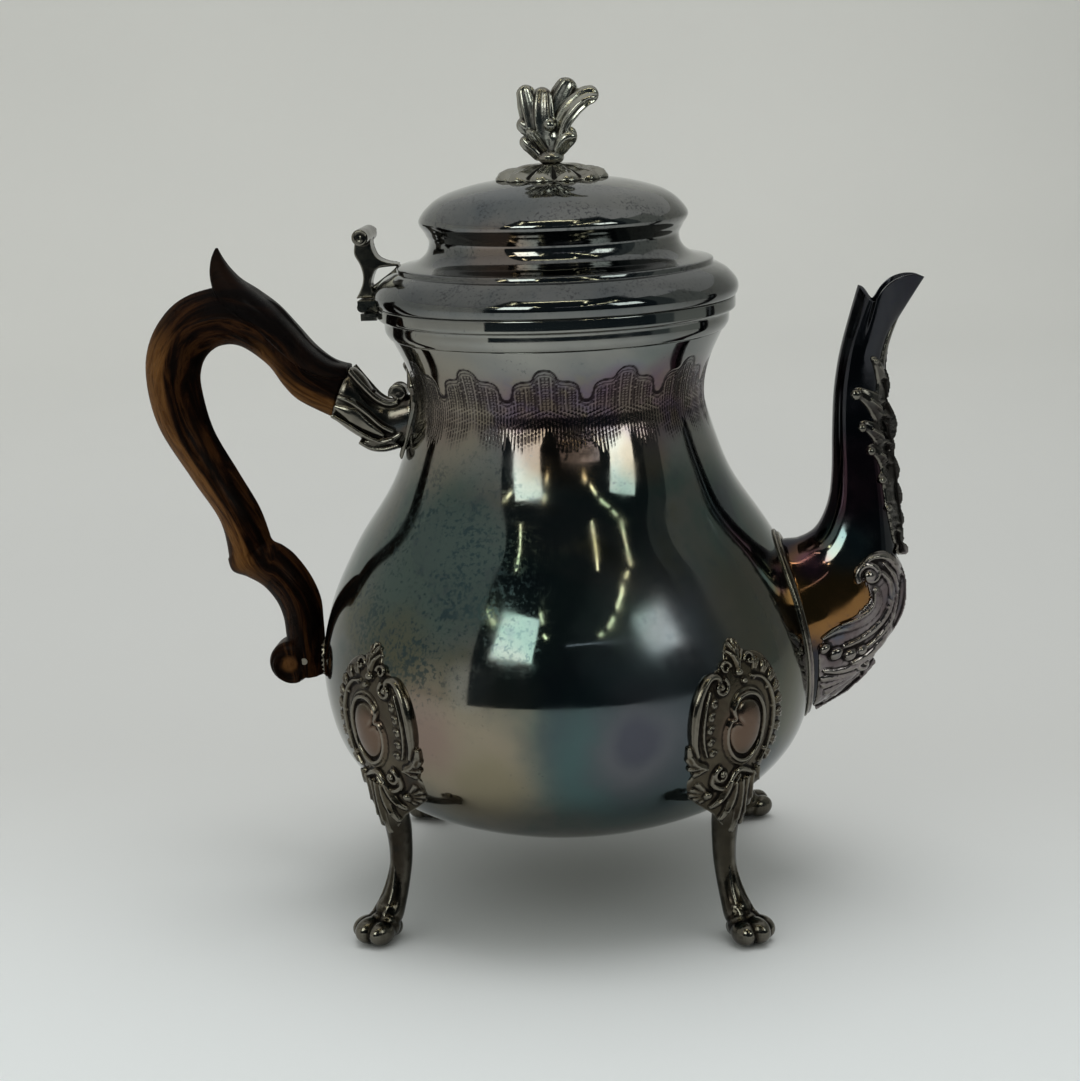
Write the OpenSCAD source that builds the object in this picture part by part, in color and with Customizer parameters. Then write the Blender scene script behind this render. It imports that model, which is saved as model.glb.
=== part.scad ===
// Footed coffee pot: pear-shaped silver body, hinged domed lid, swan-neck spout, hardwood handle.
// Millimetres, +Z up. The spout points along +X and the handle along -X. The origin lies on the
// table, in the middle of the pot's outer box, so the pot's own axis stands at X = axis_x.

/* [Body] */
// Radius of the belly at its widest
belly_r = 79.5; // [78:0.5:81]
// Height of the lowest point of the belly above the table
bottom_z = 22; // [20:1:24]
// Height of the plane where the lid meets the rim
split_z = 192; // [190:1:194]
// Wall thickness of the raised sheet
wall = 1; // [0.8:0.1:1.4]
// Radius of the pouring hole in the belly, behind the spout
pour_hole_r = 15; // [10:1:18]

/* [Rim and lid] */
// Outer radius of the rim's upper band
rim_r = 56.4; // [56:0.1:57]
// Inner radius of the mouth
mouth_r = 52.4; // [52.2:0.1:53]
// Radial clearance between the lid's collar and the mouth
collar_gap = 0.9; // [0.6:0.1:1.2]
// Gap between the closed lid and the rim
lid_gap = 0.15; // [0.1:0.05:0.3]
// Outer radius of the lid's flange
flange_r = 57.4; // [57:0.1:57.8]
// Outer radius of the lid's upper dome
dome_r = 42.1; // [40:0.5:44]
// Radius of the leaf rosette under the finial
rosette_r = 17.4; // [15:0.2:19]
// Overall height of the pot
total_h = 260; // [258:1:262]

/* [Hinge] */
// Distance of the hinge axis from the pot's axis
hinge_r = 60.3; // [60:0.1:61]
// Height of the hinge axis
hinge_z = 191.7; // [191.5:0.1:192]
// Outer radius of the knuckles
knuckle_r = 1.6; // [1.5:0.05:1.7]
// Radius of the hinge pin
pin_r = 0.8; // [0.6:0.05:0.9]
// Overall width of the hinge
hinge_w = 20; // [18:1:22]
// Width of the middle knuckle, which belongs to the body
middle_w = 6.8; // [6:0.2:8]

/* [Legs] */
// Distance of the paws from the pot's axis
paw_r = 81; // [79:0.5:83]
// Radius of one toe
toe_r = 4.2; // [3.8:0.1:4.4]

/* [Handle] */
// Radius of the wooden tenon inside the upper socket
tenon_r = 4.8; // [4:0.2:5]
// Length of the tenon
tenon_len = 11; // [8:1:12]
// Radius of the silver peg at the foot of the handle
peg_r = 2.4; // [2:0.1:2.6]
// Radius of the cross pins that lock tenon and peg
cross_pin_r = 1.1; // [0.8:0.1:1.2]

/* [Hidden] */
$fn = 96;

// Middle of the outer box to the pot's axis: the handle reaches further out than the spout.
axis_x = 10.2;
seat = 0.05;            // clearance left in a soldered seam
cast_seat = 0.12;       // the same behind a casting with a faceted back
big = 400;              // larger than any cut needs
silver = [0.36, 0.39, 0.41];
cast_silver = [0.33, 0.32, 0.31];
wood = [0.24, 0.13, 0.08];

// Leg positions as turns about the axis; the front is the -Y side.
front_left = 225;
front_right = 315;
rear_left = 135;
rear_right = 45;

// ---------------------------------------------------------------- curves

// Catmull-Rom point on the span i of the list p
function on_span(p, i, t) =
    let (n = len(p) - 1, a = p[max(i - 1, 0)], b = p[i], c = p[i + 1], d = p[min(i + 2, n)])
    0.5 * (2 * b + (c - a) * t + (2 * a - 5 * b + 4 * c - d) * t * t
        + (3 * b - a - 3 * c + d) * t * t * t);

// Smooth curve through the list p, with n steps in every span
function smooth(p, n) = concat(
    [for (i = [0 : len(p) - 2], k = [0 : n - 1]) on_span(p, i, k / n)], [p[len(p) - 1]]);

function reverse(p) = [for (i = [len(p) - 1 : -1 : 0]) p[i]];

// Curve p moved to its left by d, but neither across the axis nor past its own last height
function inset(p, d) = [for (i = [0 : len(p) - 1])
    let (t = p[min(i + 1, len(p) - 1)] - p[max(i - 1, 0)], q = p[i] + d * [-t[1], t[0]] / norm(t))
    [max(q[0], 0), min(q[1], p[len(p) - 1][1])]];

// ---------------------------------------------------------------- solids from points

// Skin between each of m rings of n points and the next
function sides(m, n) = [for (i = [0 : m - 2], j = [0 : n - 1])
    let (a = i * n + j, b = i * n + (j + 1) % n) each [[a, b, b + n], [a, b + n, a + n]]];

// Closed solid over a list of rings that all have the same number of points
module loft(rings) {
    n = len(rings[0]);
    m = len(rings);
    ends = [for (k = [0, m - 1]) [for (j = [0 : 2]) sum_of(rings[k], j) / n]];
    points = concat([for (r = rings, p = r) p], ends);
    first = [for (j = [0 : n - 1]) [n * m, (j + 1) % n, j]];
    last = [for (j = [0 : n - 1]) [n * m + 1, (m - 1) * n + j, (m - 1) * n + (j + 1) % n]];
    polyhedron(points, concat(sides(m, n), first, last));
}

function sum_of(list, j, i = 0) = i == len(list) ? 0 : list[i][j] + sum_of(list, j, i + 1);

// Closed tube between an outer and an inner skin of matching rings
module tube(outer, inner) {
    n = len(outer[0]);
    m = len(outer);
    points = concat([for (r = outer, p = r) p], [for (r = reverse(inner), p = r) p]);
    rows = 2 * m;
    faces = [for (i = [0 : rows - 1], j = [0 : n - 1])
        let (k = (i + 1) % rows, a = i * n + j, b = i * n + (j + 1) % n,
            c = k * n + (j + 1) % n, d = k * n + j)
        each [[a, b, c], [a, c, d]]];
    polyhedron(points, faces);
}

// Closed plate between a front grid and a back grid of matching rows
module plate(front, back) {
    n = len(front[0]);
    m = len(front);
    points = [for (i = [0 : m - 1]) each concat(front[i], reverse(back[i]))];
    ends = [for (j = [0 : n - 2]) let (b = j + 1, c = 2 * n - 2 - j, d = c + 1, k = 2 * n * (m - 1))
        each [[b, j, d], [b, d, c], [k + j, k + b, k + c], [k + j, k + c, k + d]]];
    polyhedron(points, concat(sides(m, 2 * n), ends));
}

// Ring through the rear and front points of a station [rear_x, rear_z, front_x, front_z, half_w]
function ring(s, sides, grow = 0) =
    let (c = [s[0] + s[2], s[1] + s[3]] / 2, h = [s[2] - s[0], s[3] - s[1]] / 2,
        u = h / norm(h), l = norm(h) + grow, w = s[4] + grow)
    [for (k = [0 : sides - 1]) let (a = -360 * k / sides)
        [c[0] + u[0] * l * cos(a), w * sin(a), c[1] + u[1] * l * cos(a)]];

// ---------------------------------------------------------------- outlines [radius, height]

body_h = split_z - bottom_z;
body_line = smooth([for (s = [[0, 0], [0.36, 0.013], [0.61, 0.048], [0.8, 0.098], [0.945, 0.184],
        [1, 0.312], [0.96, 0.429], [0.844, 0.547], [0.682, 0.665], [0.595, 0.776], [0.577, 0.824],
        [0.6, 0.88], [0.66, 0.941]])
    [s[0] * belly_r, bottom_z + s[1] * body_h]], 4);
body_top = body_line[len(body_line) - 1];
function body_r(z) = lookup(z, [for (p = body_line) [p[1], p[0]]]);

// Point on the body, or h outside it, t to the side and at height z, on the +X side
function on_body(t, z, h) = [sqrt(pow(body_r(z), 2) - t * t) + h, t, z];

lid_z = split_z + lid_gap;
dome_z = split_z + 26;
dome_top = split_z + 38;
lid_flange = smooth([[flange_r - 0.8, lid_z], [flange_r, lid_z + 2.2], [flange_r - 0.6, lid_z + 4.6],
    [flange_r - 3.2, lid_z + 7.6], [flange_r - 6.6, lid_z + 9.6]], 4);
lid_dome = smooth([[49, lid_z + 11.6], [43.4, lid_z + 13], [40.2, lid_z + 15.6], [39.2, lid_z + 19],
    [dome_r - 1.7, dome_z - 4], [dome_r, dome_z], [dome_r - 4.8, dome_z + 5.5],
    [dome_r - 12.5, dome_z + 8.8], [rosette_r, dome_top - 0.8], [0, dome_top]], 4);
lid_step = [[49.7, lid_z + 9.9], [49.7, lid_z + 11.3]];
lid_line = concat(lid_flange, lid_step, lid_dome);
lid_lining = smooth([[flange_r - 2, lid_z + 1], [flange_r - 1.4, lid_z + 2.6],
    [flange_r - 4.6, lid_z + 6.4], [47.4, lid_z + 9.8], [42, lid_z + 12], [38.6, lid_z + 15.6],
    [37.9, lid_z + 19], [dome_r - 3.2, dome_z - 3.4], [dome_r - 1.4, dome_z],
    [dome_r - 5.8, dome_z + 4.6], [dome_r - 13, dome_z + 7.6], [rosette_r, dome_top - 2.1],
    [0, dome_top - 1.3]], 3);

// ---------------------------------------------------------------- placing

module on_stand() translate([axis_x, 0, 0]) children();
module along_y(x, z, r, len) translate([x, 0, z]) rotate([90, 0, 0])
    cylinder(r = r, h = len, center = true);
module revolve(outline) rotate_extrude() polygon(outline);
// The body's outer surface as a solid, fine enough for other pieces to be cut to it
module body_solid() rotate_extrude($fn = 360) polygon(concat(body_line, [[0, body_top[1]]]));

// ---------------------------------------------------------------- body

module body_shell() on_stand() color(silver) difference() {
    revolve(concat(body_line, reverse(inset(body_line, wall))));
    translate([0, 0, pour_z]) rotate([0, 90, 0]) cylinder(r = pour_hole_r, h = big);
}

// Two-step moulding that stiffens the mouth and carries the lid
rim_bottom = body_top[1] + seat;
rim_outline = concat(
    [[mouth_r, split_z], [mouth_r, rim_bottom + 1.5], [body_top[0] - wall, rim_bottom]],
    smooth([[body_top[0] + 0.6, rim_bottom], [body_top[0] + 1.7, rim_bottom + 2],
        [rim_r - 2, rim_bottom + 5]], 3),
    [[rim_r - 1.6, split_z - 4.6], [rim_r - 0.3, split_z - 4.2], [rim_r, split_z - 3.4],
        [rim_r, split_z - 0.6], [rim_r - 0.4, split_z]]);

module neck_rim() on_stand() color(silver) revolve(rim_outline);

// ---------------------------------------------------------------- lid

stud_r = 1.5;
stud_bottom = dome_top - 7;
stud_top = dome_top + 13;
finial_base = dome_top + 4.6;

module stud_hole() cylinder(r = stud_r + 0.1, h = big);

module lid_shell() on_stand() color(silver) difference() {
    revolve(concat(lid_line, reverse(lid_lining), [[flange_r - 2, lid_z]]));
    stud_hole();
}

// Collar that drops into the mouth and keeps the lid central
module lid_bezel() on_stand() color(silver) {
    r = mouth_r - collar_gap;
    revolve([[r - 1.1, lid_z - 6], [r, lid_z - 6], [r, lid_z], [flange_r - 2 - seat, lid_z],
        [flange_r - 2 - seat, lid_z + 1 - seat], [r - 1.1, lid_z + 1 - seat]]);
}

rosette_seat = [for (p = lid_line) if (p[0] < rosette_r + 0.01 && p[1] > dome_z) p];

module finial_rosette() on_stand() color(cast_silver) difference() {
    revolve(concat(
        [for (p = reverse(rosette_seat)) [p[0], p[1] + seat]],
        [[rosette_r + 0.4, dome_top - 0.2]],
        smooth([[rosette_r - 0.6, dome_top + 1.2], [12.5, dome_top + 2.6], [6, dome_top + 3.4],
            [3.6, finial_base - seat]], 3),
        [[0, finial_base - seat]]));
    stud_hole();
    for (a = [0 : 30 : 330]) rotate([0, 0, a + 15])
        translate([rosette_r + 1.2, 0, dome_z]) cylinder(r = 2, h = 20, $fn = 32);
}

// One leaf of the bud: it rises from the stem and curls outwards to a tip
module bud_leaf(turn, reach, tip_z, width, curl) rotate([0, 0, turn])
    loft([for (s = smooth([[1, finial_base + 1, width * 0.5, 1.6],
            [reach * 0.42, (finial_base + tip_z) / 2 - 1, width, 1.3],
            [reach * 0.72, tip_z - 3.4, width * 0.8, 1.0],
            [reach, tip_z - curl, width * 0.22, 0.5]], 3))
        [for (k = [0 : 7]) let (a = -45 * k)
            [s[0] + s[3] * cos(a), s[2] / 2 * sin(a), s[1] + 0.4 * s[3] * cos(a)]]]);

// Turn, reach, share of the bud's height, width and curl of each leaf
bud_h = total_h - finial_base;
leaves = [[0, 15.4, 0.8, 7, 1], [25, 8.4, 1, 7, 0.3], [180, 8.6, 0.92, 7, 1],
    [200, 10.6, 0.52, 6.4, 1.4], [165, 10, 0.31, 5, 2], [-35, 9.6, 0.31, 5, 2.2],
    [90, 9, 0.69, 7, 1.2], [-90, 8, 0.5, 6, 1.6], [-120, 8.8, 0.68, 6.4, 1.2]];

module finial() on_stand() color(cast_silver) difference() {
    union() {
        revolve(concat([[0, finial_base]],
            smooth([[3.2, finial_base], [2.7, finial_base + 2], [3.6, finial_base + 7],
                [2.6, finial_base + 13]], 3), [[0, finial_base + 15]]));
        for (l = leaves) bud_leaf(l[0], l[1], finial_base + l[2] * bud_h, l[3], l[4]);
    }
    translate([0, 0, finial_base - 1]) cylinder(r = stud_r, h = stud_top - finial_base + 1);
}

module finial_stud() on_stand() color(cast_silver)
    translate([0, 0, stud_bottom]) cylinder(r = stud_r, h = stud_top - stud_bottom);

// Hexagonal nut on a round washer, drawn up under the dome
module finial_nut() on_stand() color(cast_silver) difference() {
    translate([0, 0, dome_top - 1.7]) mirror([0, 0, 1]) {
        cylinder(r = 5, h = 1);
        translate([0, 0, 0.9]) cylinder(r = 3.4, h = 2.6, $fn = 6);
    }
    cylinder(r = stud_r, h = big);
}

// S-scroll lever with a cross barrel, standing on the back of the flange
barrel_x = -60;
barrel_z = 213.4;
barrel_r = 2.6;
lever_w = 7;

module thumbpiece() on_stand() color(cast_silver) difference() {
    union() {
        along_y(barrel_x, barrel_z, barrel_r, 19);
        rotate([90, 0, 0]) linear_extrude(height = lever_w, center = true) polygon(concat(
            smooth([[barrel_x - 2.2, barrel_z - 1], [-63.2, 208.6], [-61.8, 205.4],
                [-60.4, 202.4], [-60.3, 199.6], [-61.6, 195.6]], 4),
            [[-61.9, lid_z + 1.6], [-57, lid_z + 1.6], [-57.6, 196], [-55.4, 197.6],
                [-49.2, 201.9], [-48.6, 204]],
            smooth([[-52.4, 203.6], [-55.4, 204.6], [-57, 206.8], [-57.6, 210],
                [barrel_x + 2, barrel_z + 1]], 4)));
    }
    revolve(concat([[0, lid_z]], lid_line));
    linear_extrude_y([[-57.6, 199.4], [-54.8, 201.2], [-57.4, 202.4]]);
}

module linear_extrude_y(outline) rotate([90, 0, 0])
    linear_extrude(height = big, center = true) polygon(outline);

// ---------------------------------------------------------------- hinge

module knuckles(spans, bore) difference() {
    for (s = spans) translate([-hinge_r, s[1], hinge_z]) rotate([90, 0, 0])
        cylinder(r = knuckle_r, h = s[1] - s[0], $fn = 48);
    along_y(-hinge_r, hinge_z, bore, big);
}

knuckle_gap = 0.1;
outer_spans = [[-hinge_w / 2, -middle_w / 2 - knuckle_gap],
    [middle_w / 2 + knuckle_gap, hinge_w / 2]];

// Upper leaf: a thin plate over the outer knuckles that is soldered to the flange
module lid_hinge_leaf() on_stand() color(cast_silver) difference() {
    union() {
        knuckles(outer_spans, 0);
        for (s = outer_spans) translate([-hinge_r - 1.4, s[0], hinge_z])
            cube([5.4, s[1] - s[0], lid_z + 1.55 - hinge_z]);
        translate([-hinge_r - 1.4, -hinge_w / 2, hinge_z + knuckle_r + 0.3])
            cube([5.4, hinge_w, lid_z + 1.55 - hinge_z - knuckle_r - 0.3]);
    }
    along_y(-hinge_r, hinge_z, pin_r + 0.05, big);
    revolve(concat([[0, lid_z - 1]], [[flange_r - 0.8, lid_z - 1]], lid_line));
    translate([-rim_r - 1.4, -big / 2, lid_z - big]) cube([big, big, big]);
}

// Lower leaf: the middle knuckle on a small plate against the rim's upper band
module body_hinge_leaf() on_stand() color(cast_silver) difference() {
    union() {
        knuckles([[-middle_w / 2, middle_w / 2]], 0);
        translate([-hinge_r - 0.6, -middle_w / 2, hinge_z - 4.2])
            cube([5, middle_w, 4.2]);
        translate([-hinge_r - 0.6, -hinge_w / 2, hinge_z - 4.2])
            cube([5, hinge_w, 2.2]);
    }
    along_y(-hinge_r, hinge_z, pin_r, big);
    cylinder(r = rim_r + seat, h = big);
}

module hinge_pin() on_stand() color(cast_silver) along_y(-hinge_r, hinge_z, pin_r, hinge_w + 0.6);

// ---------------------------------------------------------------- handle

// Outer point, inner point and half thickness of the wood, from the socket to the foot
handle_stations = [[-67.4, 171.6, -73.7, 155.7, 6.6], [-77.5, 178.4, -83.9, 161.1, 7.4],
    [-83.5, 185.8, -88.7, 166, 7.6], [-90, 193, -93.6, 173, 8], [-103, 198.6, -101.6, 179, 8.2],
    [-114.6, 197.4, -108, 179.6, 8.4], [-124, 192.8, -112.6, 177, 8.6],
    [-131.6, 182.4, -115.2, 172.4, 8.6], [-133.9, 170, -115.6, 166, 8.6],
    [-130.8, 153.6, -112.6, 152.4, 8.4], [-120.8, 135.8, -105.4, 138.4, 8],
    [-112.2, 121.4, -99, 126.6, 7.6], [-110.2, 105.4, -96, 116, 7.4],
    [-99.6, 100, -88.6, 110.6, 7], [-94, 91.4, -81.4, 99.4, 6.8],
    [-93, 82, -80.6, 88.6, 6.6], [-91, 70.4, -81.8, 72.6, 6.4]];
tenon_at = [-70.55, 163.65];
tenon_tilt = 22;
foot_z = 76;
foot_scroll = [-91.2, 75.2];
foot_scroll_r = 7.2;
foot_face = -81.6;
lower_pin_x = -86.4;
upper_pin_x = 5.4;

// Everything that lies along the tenon, with +X pointing into the socket
module along_tenon() translate([tenon_at[0], 0, tenon_at[1]]) rotate([0, tenon_tilt, 0])
    children();
module tenon_bore(grow = 0) along_tenon() rotate([0, 90, 0])
    translate([0, 0, -1]) cylinder(r = tenon_r, h = tenon_len + 1 + grow);
module upper_pin_hole() along_tenon() translate([upper_pin_x, 0, 0]) rotate([90, 0, 0])
    cylinder(r = cross_pin_r, h = big, center = true);
module lower_pin_hole() along_y(lower_pin_x, foot_z, cross_pin_r, big);

module handle() on_stand() color(wood) difference() {
    union() {
        loft([for (s = reverse(smooth(handle_stations, 2))) ring(s, 16)]);
        along_y(foot_scroll[0], foot_scroll[1], foot_scroll_r, 13);
        tenon_bore();
        hull() {
            translate([-107, 0, 208.6]) sphere(r = 1.2, $fn = 16);
            translate([-106.5, 0, 196]) sphere(r = 4.2, $fn = 24);
            translate([-96, 0, 194]) sphere(r = 3, $fn = 16);
        }
    }
    upper_pin_hole();
    lower_pin_hole();
    translate([foot_face, 0, foot_z]) rotate([0, -90, 0]) cylinder(r = peg_r, h = 10);
    translate([foot_face, -big / 2, foot_z - 12]) cube([big, big, 22]);
}

// Cast socket: a bent horn from the wood's end to the neck, with a small volute on top
socket_stations = [[-73.5, 155.3, -67.2, 171.5, 7], [-69.4, 152, -63, 169.4, 7.2],
    [-65.6, 149.2, -60.2, 164.6, 6.6], [-61.6, 146.8, -57.2, 161.8, 5.8],
    [-57, 145, -54, 161, 5.2], [-50.4, 146, -49.6, 161.4, 5.2]];
function socket_foot(s, sides) = [for (p = ring(s, sides)) let (q = on_body(p[1], p[2], plate_t))
    [-q[0] - seat, p[1], p[2]]];
plate_t = 1.4;

module handle_socket() on_stand() color(cast_silver) difference() {
    union() {
        loft(concat([socket_foot(socket_stations[len(socket_stations) - 1], 16)],
            [for (s = reverse(smooth(socket_stations, 2))) ring(s, 16)]));
        along_y(-52.6, 163, 3, 6);
    }
    tenon_bore(0.2);
    upper_pin_hole();
}

// Leaf on the neck: half widths along its height
leaf_widths = [[0, 0.6], [0.15, 3.2], [0.4, 6.6], [0.62, 7.6], [0.85, 7], [1, 4]];
leaf_z = [141.5, 172.5];

module handle_backplate() on_stand() color(cast_silver) mirror([1, 0, 0]) {
    rows = [for (i = [12 : -1 : 0]) let (f = i / 12, z = leaf_z[0] + f * (leaf_z[1] - leaf_z[0]))
        [z, lookup(f, leaf_widths)]];
    plate([for (r = rows) [for (u = [-1 : 0.25 : 1])
            on_body(u * r[1], r[0], plate_t * (1 - 0.6 * u * u))]],
        [for (r = rows) [for (u = [-1 : 0.25 : 1]) on_body(u * r[1], r[0], seat)]]);
}

module handle_upper_pin() on_stand() color(cast_silver) along_tenon()
    translate([upper_pin_x, 0, 0]) rotate([90, 0, 0])
        cylinder(r = cross_pin_r, h = 14.6, center = true);

// Round plate with flattened sides on the belly, where the foot of the handle lands
lower_plate_r = 6.6;
lower_plate_w = 10.4;
lower_plate_x = foot_face + seat;

module handle_lower_plate() on_stand() color(cast_silver) difference() {
    intersection() {
        translate([lower_plate_x, 0, foot_z]) rotate([0, 90, 0]) cylinder(r = lower_plate_r, h = 6);
        translate([lower_plate_x, -lower_plate_w / 2, foot_z - big / 2])
            cube([6, lower_plate_w, big]);
    }
    body_solid();
}

module handle_lower_peg() on_stand() color(cast_silver) difference() {
    translate([foot_face, 0, foot_z]) rotate([0, -90, 0]) cylinder(r = peg_r, h = 9.8);
    lower_pin_hole();
}

module handle_lower_pin() on_stand() color(cast_silver)
    along_y(lower_pin_x, foot_z, cross_pin_r, 13.4);

// ---------------------------------------------------------------- spout

// Rear point, front point and half width of the swan neck, from the belly to the lip
spout_stations = [[73.4, 113, 78.4, 57.6, 17], [77.4, 114.6, 88, 64, 15.4],
    [80.4, 117, 98, 74, 13.6], [83, 121.6, 104.6, 88, 11.6], [84.8, 127.6, 106.2, 104, 9.6],
    [85.6, 136, 104.2, 124, 7.8], [85.8, 147, 101.6, 143, 6.6], [86.4, 160, 100.8, 158, 6],
    [87.8, 170, 101.4, 169, 6], [90, 179, 103.8, 178, 6.3], [91.8, 185, 107, 185.4, 6.6],
    [93.8, 192.4, 113.4, 195, 6.6]];
spout_wall = 1.3;
spout_sides = 20;
spout_line = smooth(spout_stations, 2);
pour_z = 88;

function root_ring(s, grow) = [for (p = ring(s, spout_sides, grow))
    on_body(p[1], p[2], cast_seat)];
function spout_rings(grow) = concat([root_ring(spout_line[0], grow)],
    [for (i = [1 : len(spout_line) - 1]) ring(spout_line[i], spout_sides, grow)]);

module spout() on_stand() color(silver) tube(spout_rings(0), spout_rings(-spout_wall));

// Seam moulding that runs round the root on the belly
module spout_collar() on_stand() color(cast_silver) {
    edge = function(grow, h) [for (p = ring(spout_line[0], 64, grow)) on_body(p[1], p[2], h)];
    tube([edge(2.4, cast_seat), edge(2.2, 1.3), edge(0.6, 1.6)],
        [edge(0.5, cast_seat), edge(0.5, 0.8), edge(0.5, 1.5)]);
}

// Ornament on the spout: rows run along it and u sweeps round its front
function spout_patch(first, last, spread, lift) = [for (i = [first : last])
    let (s = spout_line[i], c = [s[0] + s[2], s[1] + s[3]] / 2,
        h = [s[2] - s[0], s[3] - s[1]] / 2, v = h / norm(h))
    [for (u = [-1 : 0.2 : 1]) let (f = (i - first) / (last - first),
            a = -u * lookup(f, spread), g = lift == 0 ? 4 * seat : lift * (0.35 + 0.65 * cos(90 * u)))
        [c[0] + v[0] * (norm(h) + g) * cos(a), (s[4] + g) * sin(a),
            c[1] + v[1] * (norm(h) + g) * cos(a)]]];

module spout_acanthus() on_stand() color(cast_silver) {
    spread = [[0, 40], [0.3, 62], [0.7, 70], [0.9, 50], [1, 14]];
    plate(spout_patch(9, 18, spread, 2), spout_patch(9, 18, spread, 0));
}

module spout_rocaille() on_stand() color(cast_silver) {
    spread = [[0, 30], [0.3, 60], [0.7, 72], [1, 40]];
    plate(spout_patch(1, 8, spread, 2.4), spout_patch(1, 8, spread, 0));
}

// ---------------------------------------------------------------- legs

// Centre radius, height, half depth and half width down the shin
shin = [[71.4, 34.6, 4.6, 4.8], [71, 28, 4, 4.2], [71.8, 20, 3.8, 4], [74.4, 12, 4.2, 4.4],
    [78, 6.4, 5, 5.6], [80.4, 3.4, 3, 3.6]];
leg_sides = 14;

function shin_ring(s) = [for (k = [0 : leg_sides - 1]) let (a = 360 * k / leg_sides)
    [s[0] + s[2] * cos(a), s[3] * sin(a), s[1]]];
function knee_ring(z, half_h, half_w) = [for (k = [0 : leg_sides - 1])
    let (a = 360 * k / leg_sides) on_body(half_w * sin(a), z + half_h * cos(a), seat)];

module leg(turn) on_stand() color(cast_silver) rotate([0, 0, turn]) difference() {
    union() {
        loft(concat([knee_ring(45, 5.4, 5)],
            [[for (p = shin_ring([72.8, 39.6, 3.2, 5])) [p[0], p[1], p[2] + (p[0] - 72.8) * 0.7]]],
            [for (s = smooth(shin, 2)) shin_ring(s)]));
        for (t = [-1, 0, 1])
            translate([paw_r + 3.6 - 1.2 * abs(t), 4.4 * t, toe_r - 0.5]) sphere(r = toe_r, $fn = 32);
        translate([paw_r - 3, 0, toe_r - 0.2]) sphere(r = toe_r + 0.6, $fn = 32);
    }
    translate([0, 0, -big / 2]) cube(big, center = true);
    body_solid();
}

module leg_front_left() leg(front_left);
module leg_front_right() leg(front_right);
module leg_rear_left() leg(rear_left);
module leg_rear_right() leg(rear_right);

// ---------------------------------------------------------------- cartouches

// Height, half width, lift off the belly and thickness of the plaque down its middle
plaque = [[95.5, 1.4, 0, 2], [91, 6, 0, 3], [84, 14.5, 0, 3.2], [74, 19, 0, 3.4],
    [64, 18.4, 0, 3.6], [55, 16.5, 0.6, 3.6], [49, 13, 3, 3.4]];
// Height, half width, back and front radius of the leaf that hangs over the leg
drape = [[43, 10.6, 76.7, 79], [37, 8.6, 76.5, 78.2], [32.4, 3, 76.2, 77.2]];
drape_bend = 0.02;
plaque_cols = [-1 : 0.125 : 1];

// Point of the drape at radius r and row s, set back towards its edges
function on_drape(s, u, r) = [r - drape_bend * pow(u * s[1], 2), u * s[1], s[0]];

// Raised frame at the edge, sunk ground, and the cabochon's swell in the middle
function relief(u) = 0.55 + 0.25 * cos(360 * abs(u)) + 0.2 * cos(180 * u);

module cartouche(turn) on_stand() color(cast_silver) rotate([0, 0, turn]) {
    rows = smooth(plaque, 3);
    tail = smooth(drape, 2);
    front = concat(
        [for (s = rows) [for (u = plaque_cols)
            on_body(u * s[1], s[0], cast_seat + max(s[2], 0) + s[3] * relief(u))]],
        [for (s = tail) [for (u = plaque_cols) on_drape(s, u, s[3])]]);
    back = concat(
        [for (s = rows) [for (u = plaque_cols) on_body(u * s[1], s[0], cast_seat + max(s[2], 0))]],
        [for (s = tail) [for (u = plaque_cols) on_drape(s, u, s[2])]]);
    plate(front, back);
}

module cartouche_front_left() cartouche(front_left);
module cartouche_front_right() cartouche(front_right);
module cartouche_rear_left() cartouche(rear_left);
module cartouche_rear_right() cartouche(rear_right);

// ---------------------------------------------------------------- drawing

body_shell();
neck_rim();
lid_shell();
lid_bezel();
finial();
finial_rosette();
finial_stud();
finial_nut();
thumbpiece();
lid_hinge_leaf();
body_hinge_leaf();
hinge_pin();
handle();
handle_socket();
handle_backplate();
handle_upper_pin();
handle_lower_plate();
handle_lower_peg();
handle_lower_pin();
spout();
spout_collar();
spout_acanthus();
spout_rocaille();
leg_front_left();
leg_front_right();
leg_rear_left();
leg_rear_right();
cartouche_front_left();
cartouche_front_right();
cartouche_rear_left();
cartouche_rear_right();
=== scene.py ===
import math

import bpy
import bmesh
import numpy as np
from mathutils import Matrix, Vector


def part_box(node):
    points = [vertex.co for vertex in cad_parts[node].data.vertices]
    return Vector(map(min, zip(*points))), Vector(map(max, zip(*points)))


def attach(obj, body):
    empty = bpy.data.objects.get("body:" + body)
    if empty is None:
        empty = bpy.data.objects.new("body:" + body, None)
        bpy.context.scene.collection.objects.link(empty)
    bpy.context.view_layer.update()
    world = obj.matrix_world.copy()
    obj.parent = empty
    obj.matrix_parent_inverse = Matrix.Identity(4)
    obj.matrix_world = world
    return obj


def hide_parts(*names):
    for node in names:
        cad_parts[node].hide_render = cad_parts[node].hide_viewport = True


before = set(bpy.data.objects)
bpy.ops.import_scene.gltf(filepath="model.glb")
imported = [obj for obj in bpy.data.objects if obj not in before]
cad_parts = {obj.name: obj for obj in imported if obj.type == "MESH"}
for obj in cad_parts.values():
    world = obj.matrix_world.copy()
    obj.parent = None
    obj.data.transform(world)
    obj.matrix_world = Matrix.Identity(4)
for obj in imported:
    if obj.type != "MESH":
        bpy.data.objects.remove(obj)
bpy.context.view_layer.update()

# Footed silver coffee pot. Shapes are worked out in millimetres about the pot's own upright axis,
# with the spout along +x and the handle along -x, and put into the frame by place().
MM = 0.001
shell_low, shell_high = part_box("body_shell")
rim_low, rim_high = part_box("neck_rim")
lid_low, lid_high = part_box("lid_shell")
AXIS_X = (shell_low.x + shell_high.x) / 2
BELLY_R = (shell_high.y - shell_low.y) / 2 / MM
BOTTOM_Z = shell_low.z / MM
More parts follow.
